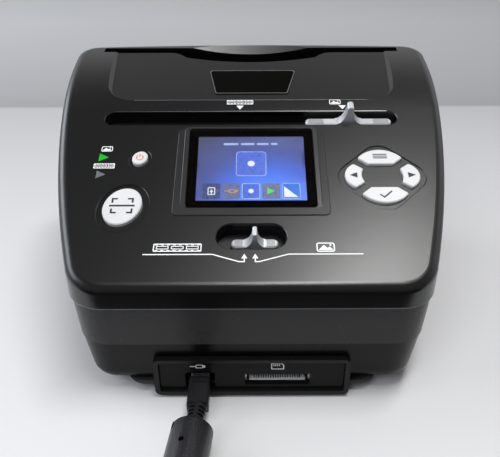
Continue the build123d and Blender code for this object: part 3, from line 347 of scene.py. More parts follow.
def moulded(name, colour, rough, grain, depth, spread=0.06, specular=0.5, metallic=0.0):
    """Moulded plastic: a fine sparked grain, with slow changes of tone and gloss."""
    made = Finish(name)
    made.set(Specular_IOR_Level=specular, Metallic=metallic)
    slow = made.noise(20.0, 3.0)
    fine = made.noise(grain, 2.0)
    made.colour(made.ramp(slow, [(0.3, shade(colour, 1 - spread)), (0.7, shade(colour, 1 + spread))]))
    made.rough(made.remap(slow, rough - 0.02, rough + 0.02))
    made.bump(fine, depth)
    return made.material


def metal(name, colour, rough, way):
    """Drawn or plated metal, with fine lines along one way."""
    made = Finish(name)
    made.set(Metallic=1.0)
    lines = made.noise(0.15, 3.0, made.stretched(way, (0.0, 0.0, 0.0)))
    made.colour(made.ramp(lines, [(0.3, shade(colour, 0.82)), (0.7, colour)]))
    made.rough(made.remap(lines, rough - 0.06, rough + 0.1))
    made.bump(lines, 0.01)
    return made.material


def cover_plastic():
    """The cover's black plastic: a sparked grain on top, smoother on its upright walls."""
    made = Finish("case_black")
    slow = made.noise(20.0, 3.0)
    made.set(Specular_IOR_Level=0.7)
    made.colour(made.ramp(slow, [(0.3, (0.0018, 0.0018, 0.0021)), (0.7, (0.0022, 0.0022, 0.0025))]))
    facing_up = made.part(made.add("ShaderNodeNewGeometry").outputs["Normal"], "Z")
    made.rough(made.remap(facing_up, 0.20, 0.33, 0.05, 0.4))
    made.bump(made.noise(0.40, 2.0), 0.020)
    return made.material


def lower_plastic():
    """The lower case's plastic, darker below its crease, which is painted shade."""
    made = Finish("case_grey")
    low = (crease_height - crease_blend) * METRE
    high = (crease_height + crease_blend) * METRE
    height = made.remap(made.along("Z"), 0.0, 1.0, low, high)
    made.set(Specular_IOR_Level=0.18)
    # The near-black tone below the crease is painted shade.
    made.colour(made.ramp(height, [(0.0, (0.002, 0.002, 0.0021)), (1.0, (0.032, 0.032, 0.0324))]))
    made.rough(made.remap(made.noise(20.0, 3.0), 0.26, 0.28))
    made.bump(made.noise(0.40, 2.0), 0.008)
    return made.material


def pan_plastic():
    """The base pan's plastic: black round the connectors, and a dark grey beside them that is painted
    light, a painted reflection of the pale floor.
    """
    made = Finish("base_black")
    off_middle = made.add("ShaderNodeMath", operation="ABSOLUTE")
    made.link(made.along("X"), off_middle.inputs[0])
    low = (connector_half - connector_blend) * METRE
    high = (connector_half + connector_blend) * METRE
    beside = made.remap(off_middle.outputs[0], 0.0, 1.0, low, high)
    made.set(Specular_IOR_Level=0.25)
    # The grey beside the connectors is a painted reflection of the floor.
    made.colour(made.ramp(beside, [(0.0, (0.006, 0.006, 0.0065)), (1.0, (0.060, 0.060, 0.062))]))
    made.rough(made.remap(made.noise(20.0, 3.0), 0.38, 0.42))
    made.bump(made.noise(0.6, 2.0), 0.02)
    return made.material


def rim_plastic():
    """The slot's fine edge, with a painted highlight: dark at the left and painted pale at the right,
    where it catches the light.
    """
    made = Finish("rim_grey")
    reach = light_slot_long / 2 * METRE
    across = made.remap(made.along("X"), 0.0, 1.0, -reach, reach)
    # The pale tones towards the right are a painted highlight.
    tones = [(0.10, 0.045), (0.35, 0.11), (0.62, 0.36), (0.75, 0.62), (0.95, 0.62)]
    made.colour(made.ramp(across, [(place, (tone, tone, tone)) for place, tone in tones]))
    made.rough(made.remap(made.noise(2.0, 2.0), 0.18, 0.24))
    made.bump(made.noise(0.5, 2.0), 0.001)
    return made.material


def circuit_board(name, mask, copper):
    """Solder mask over faint copper runs and through-holes."""
    made = Finish(name)
    runs = made.cells(3.2, made.stretched((1.0, 0.25, 1.0), (0.0, 0.0, 0.7)))
    made.colour(made.ramp(runs, [(0.05, copper), (0.12, mask)]))
    made.rough(made.remap(made.noise(1.2, 2.0), 0.28, 0.42))
    made.bump(runs, 0.03)
    return made.material


def opal_sheet():
    """Opal plastic that spreads light."""
    made = Finish("opal_sheet")
    made.set(Subsurface_Weight=0.4, Coat_Weight=0.2)
    cloud = made.noise(5.0, 2.0)
    made.colour(made.ramp(cloud, [(0.3, (0.80, 0.80, 0.77)), (0.7, (0.88, 0.88, 0.86))]))
    made.rough(made.remap(cloud, 0.30, 0.42))
    made.bump(made.noise(0.4, 1.0), 0.01)
    return made.material


def clear(name, colour):
    """Clear glass or acrylic, with faint marks in its polish."""
    made = Finish(name)
    made.set(Transmission_Weight=1.0, IOR=1.45)
    marks = made.noise(6.0, 3.0)
    made.colour(made.ramp(marks, [(0.3, shade(colour, 0.97)), (0.7, colour)]))
    made.rough(made.remap(marks, 0.0, 0.02))
    return made.material


def display_glow():
    """The lit display: bright blue right of the middle of its foot, dull violet blue far from there."""
    made = Finish("display_glow")
    apart = made.add("ShaderNodeVectorMath", operation="DISTANCE")
    made.link(made.coordinates, apart.inputs[0])
    apart.inputs[1].default_value = screen_point(*glow_place, 0) * METRE
    blues = made.ramp(
        made.remap(apart.outputs["Value"], 0.0, 1.0, 0.0, glow_reach * METRE),
        [
            (0.22, (0.078, 0.215, 0.900)),
            (0.46, (0.066, 0.135, 0.570)),
            (0.66, (0.062, 0.084, 0.270)),
            (1.0, (0.054, 0.060, 0.110)),
        ],
    )
    made.set(Base_Color=(0.012, 0.014, 0.030, 1.0))
    made.link(blues, made.shader.inputs["Emission Color"])
    made.set(Emission_Strength=1.35)
    made.rough(made.remap(made.noise(0.3, 1.0), 0.35, 0.45))
    return made.material


def glowing(name, colour, strength):
    """A lit sign or light pipe, a little uneven."""
    made = Finish(name)
    uneven = made.noise(1.5, 2.0)
    made.colour(made.ramp(uneven, [(0.3, shade(colour, 0.10)), (0.7, shade(colour, 0.15))]))
    tones = made.ramp(uneven, [(0.3, shade(colour, 0.94)), (0.7, colour)])
    made.link(tones, made.shader.inputs["Emission Color"])
    made.set(Emission_Strength=strength)
    made.rough(made.remap(uneven, 0.25, 0.35))
    return made.material


def ink(name, colour):
    """Screen-printed ink, slightly rough and uneven."""
    made = Finish(name)
    dots = made.noise(0.3, 2.0)
    made.colour(made.ramp(dots, [(0.3, shade(colour, 0.92)), (0.7, colour)]))
    made.rough(made.remap(dots, 0.45, 0.60))
    made.bump(dots, 0.005)
    return made.material


case_black = cover_plastic()
case_grey = lower_plastic()
panel_gloss = moulded("panel_gloss", (0.007, 0.007, 0.0072), 0.22, 0.8, 0.004, specular=0.12)
base_black = pan_plastic()
bezel_black = moulded("bezel_black", (0.016, 0.016, 0.017), 0.32, 0.5, 0.01)
track_black = moulded("track_black", (0.006, 0.006, 0.008), 0.40, 0.9, 0.01)
button_white = moulded("button_white", (0.60, 0.60, 0.61), 0.40, 0.30, 0.015, 0.04)
slider_silver = moulded("slider_silver", (0.56, 0.57, 0.59), 0.33, 0.25, 0.012, metallic=0.35)
ferrite_black = moulded("ferrite_black", (0.012, 0.012, 0.014), 0.32, 0.6, 0.22, 0.3)
lead_black = moulded("lead_black", (0.020, 0.020, 0.021), 0.46, 0.5, 0.02)
plug_black = moulded("plug_black", (0.013, 0.013, 0.015), 0.30, 0.5, 0.05, 0.2)
foot_rubber = moulded("foot_rubber", (0.030, 0.030, 0.030), 0.82, 0.4, 0.05)
switch_metal = metal("switch_metal", (0.60, 0.60, 0.61), 0.35, (1.0, 1.0, 1.0))
screw_steel = metal("screw_steel", (0.42, 0.42, 0.44), 0.36, (1.0, 1.0, 1.0))
rod_steel = metal("rod_steel", (0.68, 0.68, 0.70), 0.22, (0.05, 1.0, 1.0))
socket_metal = metal("socket_metal", (0.62, 0.63, 0.65), 0.30, (0.1, 1.0, 1.0))
contact_gold = metal("contact_gold", (0.80, 0.62, 0.28), 0.28, (1.0, 0.1, 1.0))
grip_grey = moulded("grip_grey", (0.20, 0.20, 0.21), 0.35, 0.3, 0.003)
# A pale bluish grey for the fine edges: a painted highlight, for the light line that they catch.
lip_black = moulded("lip_black", (0.130, 0.137, 0.155), 0.14, 0.5, 0.001)
lens_black = moulded("lens_black", (0.020, 0.020, 0.022), 0.36, 0.3, 0.01)
rim_grey = rim_plastic()
board_green = circuit_board("board_green", (0.014, 0.085, 0.038), (0.030, 0.150, 0.070))
board_black = circuit_board("board_black", (0.006, 0.006, 0.007), (0.012, 0.012, 0.012))
card_plate = moulded("card_plate", (0.90, 0.92, 0.94), 0.30, 0.5, 0.004)
diffuser_white = opal_sheet()
window_clear = clear("window_clear", (0.97, 0.97, 0.97))
lens_clear = clear("lens_clear", (0.94, 0.97, 0.98))
display_blue = display_glow()
light_green = glowing("light_green", (0.02, 0.80, 0.03), 0.55)
light_grey = moulded("light_grey", (0.120, 0.135, 0.145), 0.28, 0.5, 0.004)
ink_white = ink("ink_white", (0.86, 0.87, 0.88))
ink_black = ink("ink_black", (0.012, 0.012, 0.014))
ink_red = ink("ink_red", (0.62, 0.20, 0.18))
window_print = moulded("window_print", (0.005, 0.004, 0.003), 0.10, 0.8, 0.0005, specular=0.1)
plate_black = moulded("plate_black", (0.0025, 0.0025, 0.0022), 0.16, 2.0, 0.0005, specular=0.03)
plate_silver = metal("plate_silver", (0.62, 0.62, 0.62), 0.30, (1.0, 1.0, 1.0))
# Flat black for holes, slits, grooves and recesses: painted shade.
hole_black = moulded("hole_black", (0.002, 0.002, 0.002), 0.60, 0.5, 0.01, specular=0.0)

finished_nodes = [
    (case_black, ["top_cover"]),
    (case_grey, ["lower_case"]),
    (panel_gloss, ["io_panel"]),
    (
        base_black,
        [
            "base_pan", "lcd_holder", "rod_brackets", "lens_mount", "film_gate",
            "photo_guide_left", "photo_guide_right", "focus_fork", "backlight_carriage",
        ],
    ),
    (track_black, ["light_track", "focus_track"]),
    (bezel_black, ["lcd_bezel"]),
    (window_clear, ["lcd_window"]),
    (display_blue, ["lcd_panel"]),
    (foot_rubber, ["feet"]),
    (screw_steel, ["case_screws"]),
    (rod_steel, ["guide_rod"]),
    (board_green, ["main_board", "sensor_board", "backlight_board"]),
    (board_black, ["io_board"]),
    (switch_metal, ["tact_switches"]),
    (
        button_white,
        [
            "scan_button", "power_button", "mode_button",
            "enter_button", "left_button", "right_button",
        ],
    ),
    (light_green, ["photo_light_pipe"]),
    (light_grey, ["film_light_pipe"]),
    (slider_silver, ["light_slider", "focus_slider"]),
    (diffuser_white, ["backlight_diffuser", "photo_lamp_left", "photo_lamp_right"]),
    (lens_black, ["lens_barrel", "focus_ring"]),
    (lens_clear, ["lens_glass"]),
    (socket_metal, ["usb_socket", "card_socket", "usb_plug_shell", "host_plug_shell"]),
    (contact_gold, ["card_contacts"]),
    (plug_black, ["usb_plug", "host_plug"]),
    (ferrite_black, ["ferrite"]),
    (lead_black, ["coil_tie"]),
]

for finish, node_names in finished_nodes:
    for node_name in node_names:
        mesh = nodes[node_name].data
        mesh.materials.clear()
        mesh.materials.append(finish)


# Lead


def coil_points():
    """The coil's turns: in along the lower layer, up where the spiral turns back, and out again."""
    rate = coil_pitch / (2 * math.pi)
    half = math.pi * coil_turns
    inner = coil_middle_radius - rate * half / 2
    count = round(coil_turns * coil_points_a_turn)
    # The spline cuts inside its points, so they stand out by what it cuts.
    outward = 1 / (1 - (math.pi / coil_points_a_turn) ** 2 / 4)
    points = []
    for i in range(count + 1):
        angle = 2 * half * i / count
        radius = (inner + rate * abs(angle - half)) * outward
        turned = coil_start_turn + angle
        way_up = min(max((angle - half) / math.pi + 0.5, 0.0), 1.0)
        lift = coil_layer * way_up * way_up * (3 - 2 * way_up)
        x = coil_centre[0] + radius * math.cos(turned)
        y = coil_centre[1] + radius * math.sin(turned)
        points.append((x, y, coil_low + lift))
    return points


def round_curve(name, kind, runs, radius, facets):
    """A curve with a round section along each run of places."""
    curve = bpy.data.curves.new(name, "CURVE")
    curve.dimensions = "3D"
    curve.bevel_depth = radius * METRE
    curve.bevel_resolution = facets
    curve.resolution_u = 6
    curve.use_fill_caps = True
    for run in runs:
        spline = curve.splines.new(kind)
        spline.points.add(len(run) - 1)
        for point, place in zip(spline.points, run):
            point.co = (*(Vector(place) * METRE), 1.0)
    return curve


def lead():
    """The USB lead as one smooth line, from the plug's relief to the far plug."""
    route = [*lead_route, *coil_points(), *tail_route]
    curve = round_curve("lead", "NURBS", [route], cable_radius, 5)
    curve.splines[0].order_u = 3
    curve.splines[0].use_endpoint_u = True
    curve.materials.append(lead_black)
    piece = bpy.data.objects.new("lead", curve)
    scene.collection.objects.link(piece)
    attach(piece, "housing")
    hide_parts("cable_run", "cable_coil", "cable_tail")


lead()


# Flat shapes, each a list of closed outlines in the plane that they are printed on


def arc_points(u, v, radius, start, end, count):
    """Points along an arc, with its angles in degrees."""
    steps = [math.radians(start + (end - start) * i / count) for i in range(count + 1)]
    return [(u + radius * math.cos(a), v + radius * math.sin(a)) for a in steps]


def disc(u, v, radius):
    return [arc_points(u, v, radius, 0, 360, 24)[:-1]]


def rounded(u, v, width, tall, corner):
    """A rectangle with round corners."""
    a, b = width / 2 - corner, tall / 2 - corner
    outline = []
    for turn, (x, y) in zip((0, 90, 180, 270), ((a, b), (-a, b), (-a, -b), (a, -b))):
        outline += arc_points(u + x, v + y, corner, turn, turn + 90, 6)
    return outline


def between(outer, inner):
    """The band between two outlines with as many points each."""
    count = len(outer)
    pairs = [(i, (i + 1) % count) for i in range(count)]
    return [[outer[i], outer[j], inner[j], inner[i]] for i, j in pairs]


def frame_line(u, v, width, tall, corner, line):
    """A rectangle's outline with round corners, drawn inside its size."""
    inner_corner = max(corner - line, line / 4)
    return between(
        rounded(u, v, width, tall, corner),
        rounded(u, v, width - 2 * line, tall - 2 * line, inner_corner),
    )


def ring_part(u, v, outer, inner, start, end):
    """Part of a ring between two angles in degrees."""
    count = 28
    wide = arc_points(u, v, outer, start, end, count)
    narrow = arc_points(u, v, inner, start, end, count)
    return [[wide[i], wide[i + 1], narrow[i + 1], narrow[i]] for i in range(count)]


def stroke(points, width):
    """A line of straight runs of one width, with mitred corners."""
    ways = [(Vector(b) - Vector(a)).normalized() for a, b in zip(points, points[1:])]
    sides = []
    for i, point in enumerate(points):
        before = ways[max(i - 1, 0)]
        after = ways[min(i, len(ways) - 1)]
        across = Vector((-before.y - after.y, before.x + after.x)).normalized()
        reach = width / 2 / max(across.dot(Vector((-after.y, after.x))), 0.3)
        sides.append((Vector(point) + across * reach, Vector(point) - across * reach))
    return [
        [tuple(a[0]), tuple(a[1]), tuple(b[1]), tuple(b[0])] for a, b in zip(sides, sides[1:])
    ]


def triangle(u, v, width, tall):
    """A triangle that points up, or down where tall is negative."""
    return [[(u - width / 2, v - tall / 2), (u + width / 2, v - tall / 2), (u, v + tall / 2)]]


def side_triangle(u, v, long, tall):
    """A triangle that points right, or left where long is negative."""
    return [[(u - long / 2, v + tall / 2), (u - long / 2, v - tall / 2), (u + long / 2, v)]]


def box(u, v, width, tall):
    a, b = width / 2, tall / 2
    return [[(u - a, v - b), (u + a, v - b), (u + a, v + b), (u - a, v + b)]]


def film_sign(u, v, width, tall):
    """A strip of film: two rows of holes along a band with three frames."""
    line = tall * 0.11
    shapes = frame_line(u, v, width, tall, line, line)
    hole_count = 8
    for i in range(hole_count):
        across = u + width * ((i + 0.5) / hole_count - 0.5)
        for side in (-1, 1):
            shapes += box(across, v + side * tall * 0.34, width / hole_count * 0.45, tall * 0.11)
    for i in (-1, 0, 1):
        shapes += frame_line(u + i * width * 0.31, v, width * 0.26, tall * 0.42, line, line * 0.8)
    return shapes


def picture_sign(u, v, width, tall):
    """A framed picture with hills and a sun."""
    line = tall * 0.11
    shapes = frame_line(u, v, width, tall, line * 2, line)
    foot = v - tall * 0.32
    hills = [
        (u - width * 0.40, foot),
        (u + width * 0.40, foot),
        (u + width * 0.22, v + tall * 0.08),
        (u + width * 0.10, v - tall * 0.10),
        (u - width * 0.10, v + tall * 0.24),
    ]
    shapes.append(hills)
    shapes += disc(u + width * 0.27, v + tall * 0.24, tall * 0.09)
    return shapes


def print_on(name, shapes, place, material, body, thick=ink_thick, low=0.0):
    """Raises flat shapes off a face as thin closed prisms, as one piece on a body."""
    vertices = []
    faces = []
    for shape in shapes:
        area = sum(a[0] * b[1] - b[0] * a[1] for a, b in zip(shape, shape[1:] + shape[:1]))
        outline = shape if area > 0 else shape[::-1]
        count = len(outline)
        first = len(vertices)
        vertices += [place(u, v, low + thick) * METRE for u, v in outline]
        vertices += [place(u, v, low) * METRE for u, v in outline]
        faces.append(list(range(first, first + count)))
        faces.append(list(range(first + 2 * count - 1, first + count - 1, -1)))
        for i in range(count):
            j = (i + 1) % count
            faces.append([first + i, first + count + i, first + count + j, first + j])
    mesh = bpy.data.meshes.new(name)
    mesh.from_pydata(vertices, [], faces)
    mesh.materials.append(material)
    return add_piece(name, mesh, body)


def add_piece(name, mesh, body):
    """A finished mesh as a piece that rides on a body."""
    mesh.update()
    piece = bpy.data.objects.new(name, mesh)
    scene.collection.objects.link(piece)
    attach(piece, body)
    return piece


# Signs on the panel


def panel_signs():
    """The two ends of the film light's way: a strip of film and a picture, each with an arrow."""
    white = []
    for u in (-5.4, 45.0):
        white += triangle(u, 14.5, 3.6, -2.6)
    white += film_sign(-5.4, 18.3, 13.0, 3.0)
    white += picture_sign(41.6, 18.3, 5.6, 3.4)
    print_on("slot_signs", white, panel_point, ink_white, "housing")


def focus_lines():
    """The two lines that lead from the focus signs to the focus slider, each with an arrow."""
    line_v = -72.6
    low_v = -76.2
    signs = []
    for side, end, bend, corner in ((-1, 44.6, 16.1, 5.1), (1, 45.8, 15.2, 3.2)):
        tip = side * 2.25 - 0.7
        line = [
            (side * end, line_v),
            (side * bend, line_v),
            (side * corner, low_v),
            (tip, low_v),
            (tip, low_v + 2.0),
        ]
        signs += stroke(line, 0.5)
        signs += triangle(tip, low_v + 2.7, 2.5, 2.3)
    signs += film_sign(-30.6, -69.2, 20.0, 4.0)
    signs += picture_sign(30.6, -69.2, 7.6, 4.6)
    print_on("focus_signs", signs, panel_point, ink_white, "housing")


def light_signs():
    """The small signs over the two status lights."""
    signs = picture_sign(-67.0, -13.2, 5.2, 3.2)
    signs += film_sign(-67.0, -23.8, 9.6, 3.0)
    print_on("light_signs", signs, panel_point, ink_white, "housing")


def button_signs():
    """Plain signs on the six buttons."""
    u, v = scan_place
    corner = []
    for across in (-1, 1):
        for up in (-1, 1):
            corner += stroke(
                [
                    (u + across * 4.4, v + up * 1.6),
                    (u + across * 4.4, v + up * 3.8),
                    (u + across * 2.2, v + up * 3.8),
                ],
                0.8,
            )
    corner += box(u, v, 11.0, 0.9)
    print_on("scan_sign", corner, button_point, ink_black, "scan_button")
    u, v = power_place
    power = ring_part(u, v, 1.75, 1.25, 125, 415)
    power += box(u, v + 1.2, 0.5, 1.9)
    print_on("power_sign", power, button_point, ink_red, "power_button")
    u, v = pad_place
    key = side_triangle(u - 13.1, v, -3.4, 3.2)
    print_on("left_sign", key, button_point, ink_black, "left_button")
    key = side_triangle(u + 13.1, v, 3.4, 3.2)
    print_on("right_sign", key, button_point, ink_black, "right_button")
    menu = []
    for step in (-1, 0, 1):
        menu += box(u, v + 11.4 + step * 1.1, 6.4, 0.55)
    print_on("mode_sign", menu, button_point, ink_black, "mode_button")
    tick = stroke([(u - 2.6, v - 11.2), (u - 0.8, v - 12.8), (u + 2.8, v - 9.4)], 0.7)
    print_on("enter_sign", tick, button_point, ink_black, "enter_button")


def connector_signs():
    """A plug over the USB socket and a card over the card slot, as plain outlines."""
    u, v = usb_x, 16.6
    signs = frame_line(u, v, 3.2, 2.0, 0.3, 0.35)
    signs += box(u - 2.9, v, 2.6, 0.4)
    signs += box(u + 2.1, v, 1.0, 1.3)
    u = card_x
    card = [
        (u - 2.6, v - 1.6),
        (u + 2.6, v - 1.6),
        (u + 2.6, v + 0.6),
        (u + 1.6, v + 1.6),
        (u - 2.6, v + 1.6),
        (u - 2.6, v - 1.6),
    ]
    signs += stroke(card, 0.4)
    for step in range(4):
        signs += box(u - 1.6 + step * 0.8, v + 0.6, 0.35, 0.9)
    print_on("connector_signs", signs, front_point, ink_white, "housing")


panel_signs()
focus_lines()
light_signs()
button_signs()
connector_signs()


# Bare nameplate on the roof


def nameplate():
    """A glossy trapezoid with a thin silver border, left bare."""
    foot_y, top_y = 27.8, 48.2
    outline = []
    corners = [(-18.2, foot_y, 225), (18.8, foot_y, 315), (23.1, top_y, 45), (-21.4, top_y, 135)]
    round_off = 1.6
    for u, y, turn in corners:
        way = math.radians(turn)
        middle = (u - round_off * math.cos(way) * 1.3, y - round_off * math.sin(way) * 1.3)
        outline += arc_points(*middle, round_off, turn - 45, turn + 45, 6)
    centre = (0.7, (foot_y + top_y) / 2)

    def drawn_in(amount):
        half_wide, half_tall = 20.0, (top_y - foot_y) / 2
        return [
            (
                centre[0] + (u - centre[0]) * (1 - amount / half_wide),
                centre[1] + (v - centre[1]) * (1 - amount / half_tall),
            )
            for u, v in outline
        ]

    print_on("nameplate", [outline], recess_point, plate_black, "housing", 0.35)
    border = between(drawn_in(0.15), drawn_in(0.5))
    thick, low = 0.05, 0.34
    print_on("nameplate_border", border, recess_point, plate_silver, "housing", thick, low)


nameplate()


# Screen


def shown(name, shapes, colour, level):
    """Something shown on the display, at a level over what lies behind it."""
    lit = glowing(name, colour, 1.0)
    print_on(name, shapes, screen_point, lit, "housing", 0.01, 0.02 + 0.02 * level)


def screen():
    """The window's printed border, and a plain menu on the display."""
    border = between(
        rounded(0, 0, window_width - 0.4, window_tall - 0.4, window_corner),
        rounded(0, 0, display_width, display_tall, 0.3),
    )
    print_on("window_border", border, screen_point, window_print, "housing", 0.05, 0.05)

    title = []
    for u, width in ((-9.3, 7.0), (-1.6, 6.4), (5.4, 5.6), (10.8, 3.2)):
        title += [rounded(u, 14.1, width, 1.3, 0.6)]
    shown("screen_title", title, (0.42, 0.50, 0.78), 0)

    places = [-17.6, -8.9, -0.1, 8.8, 17.7]
    row_v, side = -13.4, 7.9

    def tile(i):
        return rounded(places[i], row_v, side, side + 0.6, 0.8)

    shown("icon_large", [rounded(0, 2.3, 13.6, 14.2, 1.6)], (0.085, 0.160, 0.690), 0)
    shown("icon_dark", [tile(0)], (0.060, 0.075, 0.200), 0)
    shown("icon_greys", [tile(1), tile(3)], (0.130, 0.155, 0.330), 0)
    shown("icon_blue", [tile(2)], (0.065, 0.145, 0.730), 0)
    shown("icon_sky", [tile(4)], (0.012, 0.160, 0.720), 0)

    frames = frame_line(0, 2.3, 13.8, 14.4, 1.7, 0.35)
    frames += frame_line(places[2], row_v, side + 0.2, side + 0.8, 0.9, 0.4)
    frames += frame_line(places[4], row_v, side + 0.2, side + 0.8, 0.9, 0.35)
    shown("icon_frames", frames, (0.38, 0.50, 0.80), 1)

    white = disc(0, 2.3, 1.65) + disc(places[2], row_v, 1.2)
    corner_u, corner_v = places[4] - 3.2, row_v - 3.4
    white.append([(corner_u, corner_v), (corner_u + 6.2, corner_v), (corner_u, corner_v + 6.0)])
    card_u = places[0]
    white += frame_line(card_u, row_v, 3.4, 4.2, 0.5, 0.45)
    white += triangle(card_u, row_v + 0.3, 1.7, 1.5)
    white += box(card_u, row_v - 0.9, 0.5, 1.2)
    shown("icon_whites", white, (0.80, 0.86, 0.92), 2)

    plug_u = places[1]
    plug = frame_line(plug_u + 0.4, row_v, 2.8, 2.0, 0.3, 0.4)
    plug += box(plug_u - 2.0, row_v, 2.2, 0.4)
    plug += box(plug_u + 2.4, row_v, 1.2, 1.2)
    shown("icon_plug", plug, (0.62, 0.33, 0.07), 2)
    play = side_triangle(places[3], row_v, 3.3, 3.6)
    shown("icon_play", play, (0.10, 0.75, 0.06), 2)


screen()


# Grip dots, card pins and the painted shade of the screw recesses, each a repeated form from Geometry
# Nodes


def plain_mesh(name, holder):
    """What an object comes out as, as a mesh of its own, and the object is taken away."""
    depsgraph = bpy.context.evaluated_depsgraph_get()
    made = bpy.data.meshes.new_from_object(holder.evaluated_get(depsgraph), depsgraph=depsgraph)
    made.name = name
    holder.modifiers.clear()
    bpy.data.objects.remove(holder)
    return made


class Repeat(NodeTree):
    """A node group that puts one small form on many points and leaves a plain mesh."""

    def __init__(self, name):
        super().__init__(bpy.data.node_groups.new(name, "GeometryNodeTree"))
        self.tree.interface.new_socket("Geometry", in_out="INPUT", socket_type="NodeSocketGeometry")
        self.tree.interface.new_socket("Geometry", in_out="OUTPUT", socket_type="NodeSocketGeometry")
        self.values = {}

    def input(self, name, kind, value):
        made = self.tree.interface.new_socket(name, in_out="INPUT", socket_type=kind)
        self.values[made.identifier] = value

    def begin(self):
        self.given = self.add("NodeGroupInput")

    def product(self, first, second):
        made = self.add("ShaderNodeMath", operation="MULTIPLY")
        self.link(first, made.inputs[0])
        self.link(second, made.inputs[1])
        return made.outputs[0]

    def less_one(self, value):
        made = self.add("ShaderNodeMath", operation="SUBTRACT")
        self.link(value, made.inputs[0])
        made.inputs[1].default_value = 1.0
        return made.outputs[0]

    def end(self, points, form, material):
        """Puts the form on the points, makes one mesh of it all and gives it a material."""
        spread = self.add("GeometryNodeInstanceOnPoints")
        self.link(points, spread.inputs["Points"])
        self.link(form, spread.inputs["Instance"])
        real = self.add("GeometryNodeRealizeInstances")
        self.link(spread.outputs["Instances"], real.inputs["Geometry"])
        paint = self.add("GeometryNodeSetMaterial")
        paint.inputs["Material"].default_value = material
        self.link(real.outputs["Geometry"], paint.inputs["Geometry"])
        out = self.add("NodeGroupOutput")
        self.link(paint.outputs["Geometry"], out.inputs["Geometry"])

    def mesh(self, name, points):
        """The plain mesh that the group makes on a mesh of points."""
        seed = bpy.data.meshes.new(name)
        seed.from_pydata(points, [], [])
        holder = bpy.data.objects.new(name, seed)
        scene.collection.objects.link(holder)
        modifier = holder.modifiers.new(name, "NODES")
        modifier.node_group = self.tree
        for identifier, value in self.values.items():
            modifier[identifier] = value
        return plain_mesh(name, holder)


def dot_mesh(name, columns, rows):
    """Two interleaved grids of low domes about the origin, in metres."""
    dots = Repeat(name)
    dots.input("Columns", "NodeSocketInt", columns)
    dots.input("Rows", "NodeSocketInt", rows)
    dots.input("Step", "NodeSocketFloat", grip_step * METRE)
    dots.input("Dot Radius", "NodeSocketFloat", grip_dot_radius * METRE)
    dots.begin()
    grids = dots.add("GeometryNodeJoinGeometry")
    columns_less = dots.less_one(dots.given.outputs["Columns"])
    rows_less = dots.less_one(dots.given.outputs["Rows"])
    sizes = [
        (dots.given.outputs["Columns"], dots.given.outputs["Rows"]),
        (columns_less, rows_less),
    ]
    for across, up in sizes:
        grid = dots.add("GeometryNodeMeshGrid")
        step = dots.given.outputs["Step"]
        dots.link(dots.product(dots.less_one(across), step), grid.inputs["Size X"])
        dots.link(dots.product(dots.less_one(up), step), grid.inputs["Size Y"])
        dots.link(across, grid.inputs["Vertices X"])
        dots.link(up, grid.inputs["Vertices Y"])
        dots.link(grid.outputs["Mesh"], grids.inputs["Geometry"])
    dome = dots.add("GeometryNodeMeshUVSphere")
    dome.inputs["Segments"].default_value = 10
    dome.inputs["Rings"].default_value = 6
    dots.link(dots.given.outputs["Dot Radius"], dome.inputs["Radius"])
    flat = dots.add("GeometryNodeTransform")
    flat.inputs["Scale"].default_value = (1.0, 1.0, 0.6)
    dots.link(dome.outputs["Mesh"], flat.inputs["Geometry"])
    dots.end(grids.outputs["Geometry"], flat.outputs["Geometry"], grip_grey)
    return dots.mesh(name, [(0.0, 0.0, 0.0)])


def put(mesh, place):
    """Moves a mesh that was made about the origin, in metres, to a place given in millimetres."""
    for vertex in mesh.vertices:
        u, v, rise = vertex.co / METRE
        vertex.co = place(u, v, rise) * METRE


def grip_dots():
    """Small dots that stand up at both ends of each slider's bar."""
    light = (light_slider_x, light_slot_v, light_slider_depth, light_slider_long)
    focus = (focus_slider_x, focus_slot_v, focus_slider_depth, focus_slider_long)
    sliders = [("light_grip", light, 8, "film_light"), ("focus_grip", focus, 4, "focus_control")]
    for name, (u, v, depth, long), columns, body in sliders:
        for side, end in ((-1, "left"), (1, "right")):
            mesh = dot_mesh(f"{name}_{end}", columns, grip_rows)
            middle = u + side * (long / 2 - grip_end - (columns - 1) / 2 * grip_step)

            def on_bar(a, b, rise, middle=middle, v=v, depth=depth):
                return panel_point(middle + a, v + b, rise - depth)

            put(mesh, on_bar)
            add_piece(f"{name}_{end}", mesh, body)


def card_pins():
    """The row of spring contacts on a plate on the floor of the card slot."""
    pins = Repeat("card_pins")
    pins.input("Count", "NodeSocketInt", pin_count)
    pins.input("Step", "NodeSocketFloat", pin_step * METRE)
    pins.input("Pin Size", "NodeSocketVector", Vector(pin_size) * METRE)
    pins.begin()
    row = pins.add("GeometryNodeMeshLine")
    way = pins.add("ShaderNodeCombineXYZ")
    pins.link(pins.given.outputs["Step"], way.inputs["X"])
    pins.link(pins.given.outputs["Count"], row.inputs["Count"])
    pins.link(way.outputs["Vector"], row.inputs["Offset"])
    pin = pins.add("GeometryNodeMeshCube")
    pins.link(pins.given.outputs["Pin Size"], pin.inputs["Size"])
    pins.end(row.outputs["Mesh"], pin.outputs["Mesh"], track_black)
    mesh = pins.mesh("card_pins", [(0.0, 0.0, 0.0)])

    def on_floor(u, v, rise):
        return Vector((card_x + u, io_face_y + v, card_floor_z + rise))

    def in_row(a, b, rise):
        return on_floor(*(Vector(pin_row) + Vector((a, b, rise))))

    put(mesh, in_row)
    add_piece("card_pins", mesh, "housing")
    plate = box(0, card_plate_depth, *card_plate_size)
    print_on("card_plate", plate, on_floor, card_plate, "housing", 0.05)


